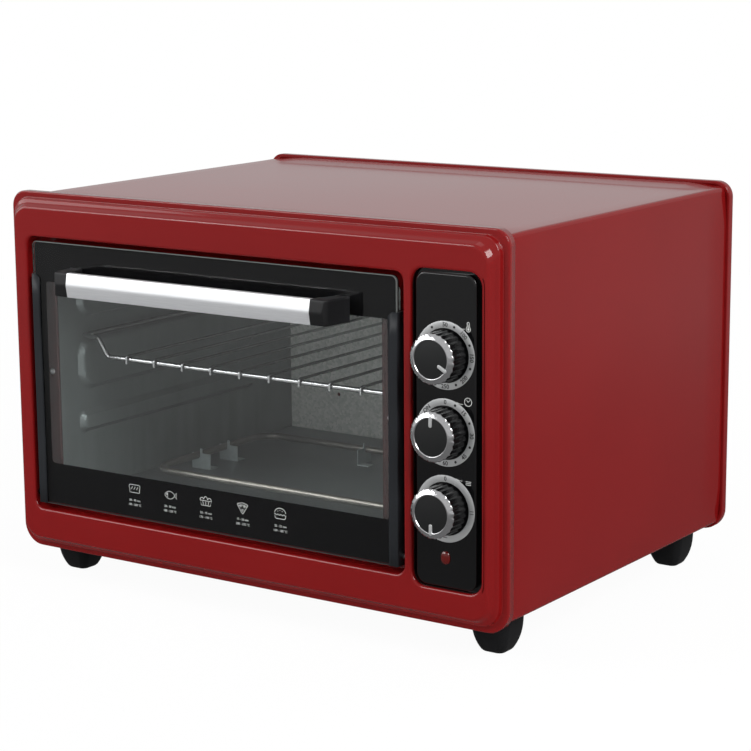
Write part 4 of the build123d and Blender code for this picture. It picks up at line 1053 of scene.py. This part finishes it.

# Floor: a plain pale sheet of paper that keeps the oven's shadow. It looks near white close by and pure
# white far off. In the oven's reflections it is dimmer, and darkest close by. This is painted shade of the
# oven on the floor, which shows only in reflections.
paper = Finish("floor")
paper_grain = paper.grain(400, 2)
paper_colour = paper.mix(paper_grain, (0.84, 0.84, 0.84, 1), (0.86, 0.86, 0.86, 1))
floor_shade = paper.node("BsdfDiffuse", {}, {"Color": paper_colour})[0]
direct, glossy, passed = paper.rays()
paper_x, paper_y, _ = paper.node("SeparateXYZ", {}, {0: paper.place()})
far = paper.ramp(paper.math("SQRT", paper_x * paper_x + paper_y * paper_y), 0.5, 1.9)
mirrored = glossy * (1.0 - passed)
# Painted shade: rays reflected from the oven see the floor's glow darker, most of all near the oven.
glow_with_painted_shade = 1.0 - mirrored * (0.85 - 0.22 * far)
floor_light = paper.node("Emission", {}, {"Color": (1, 1, 1, 1), "Strength": glow_with_painted_shade})[0]
seen_ray = paper.math("MINIMUM", direct + glossy + passed, 0.96 + 0.04 * far)
floor_mix = paper.node("MixShader", {}, {0: seen_ray, 1: floor_shade, 2: floor_light})[0]
paper.node("OutputMaterial", {}, {"Surface": floor_mix})
floor_mesh = bpy.data.meshes.new("floor")
reach = 40
floor_corners = [(-reach, -reach, 0), (reach, -reach, 0), (reach, reach, 0), (-reach, reach, 0)]
floor_mesh.from_pydata(floor_corners, [], [(0, 1, 2, 3)])
floor_mesh.materials.append(paper.owner)
floor = in_scene("floor", floor_mesh)

# Light: a pale room, white to the camera and dimmer in reflections, with large soft lamps in front, at the
# left and right, above and behind. The one behind is in no reflection.
room = Finish("pale_room", bpy.data.worlds)
bpy.context.scene.world = room.owner
direct, glossy, passed = room.rays()
seen_room = room.math("MINIMUM", direct + 0.42 * glossy + passed, 1.0)
soft, white = [
    room.node("Background", {}, {"Color": (1, 1, 1, 1), "Strength": glow})[0] for glow in (0.26, 1.0)
]
room_mix = room.node("MixShader", {}, {0: seen_room, 1: soft, 2: white})[0]
room.node("OutputWorld", {}, {"Surface": room_mix})


def soft_lamp(name, spot, target, size, power):
    """A square lamp at a spot, in metres, that faces its target."""
    lamp = bpy.data.lights.new(name, "AREA")
    lamp.size, lamp.energy = size, power
    holder = in_scene(name, lamp)
    away = Vector(spot) - Vector(target)
    holder.matrix_world = Matrix.Translation(spot) @ away.to_track_quat("Z", "Y").to_matrix().to_4x4()
    return holder


soft_lamp("front_lamp", (-1.3, -2.0, 1.35), (0, -0.1, 0.15), 1.1, 24)
soft_lamp("left_lamp", (-1.8, -1.05, 1.15), (0.1, -0.1, 0.15), 1.4, 18)
soft_lamp("right_lamp", (1.85, -0.8, 1.6), (0.1, 0, 0.15), 1.1, 47)
soft_lamp("top_lamp", (0.1, 0.3, 2.3), (0, 0, 0.2), 1.2, 4)
soft_lamp("back_lamp", (0.5, 2.4, 1.2), (0, 0.2, 0.15), 1.6, 30).visible_glossy = False

# Camera: a long lens to the right of the front, a little above the roof. Its place and turn were solved
# from the oven's straight edges.
camera_data = bpy.data.cameras.new("camera")
camera_data.lens, camera_data.sensor_width = 107.6, 36
camera_data.clip_end = 200
camera = in_scene("camera", camera_data)
camera.matrix_world = (
    Matrix.Translation((1.1464, -1.6386, 0.5804))
    @ Matrix.Rotation(radians(34.69), 4, "Z")
    @ Matrix.Rotation(radians(90 - 11.28), 4, "X")
    @ Matrix.Rotation(radians(-0.44), 4, "Z")
)
bpy.context.scene.camera = camera
bpy.context.scene.view_settings.view_transform = "Standard"
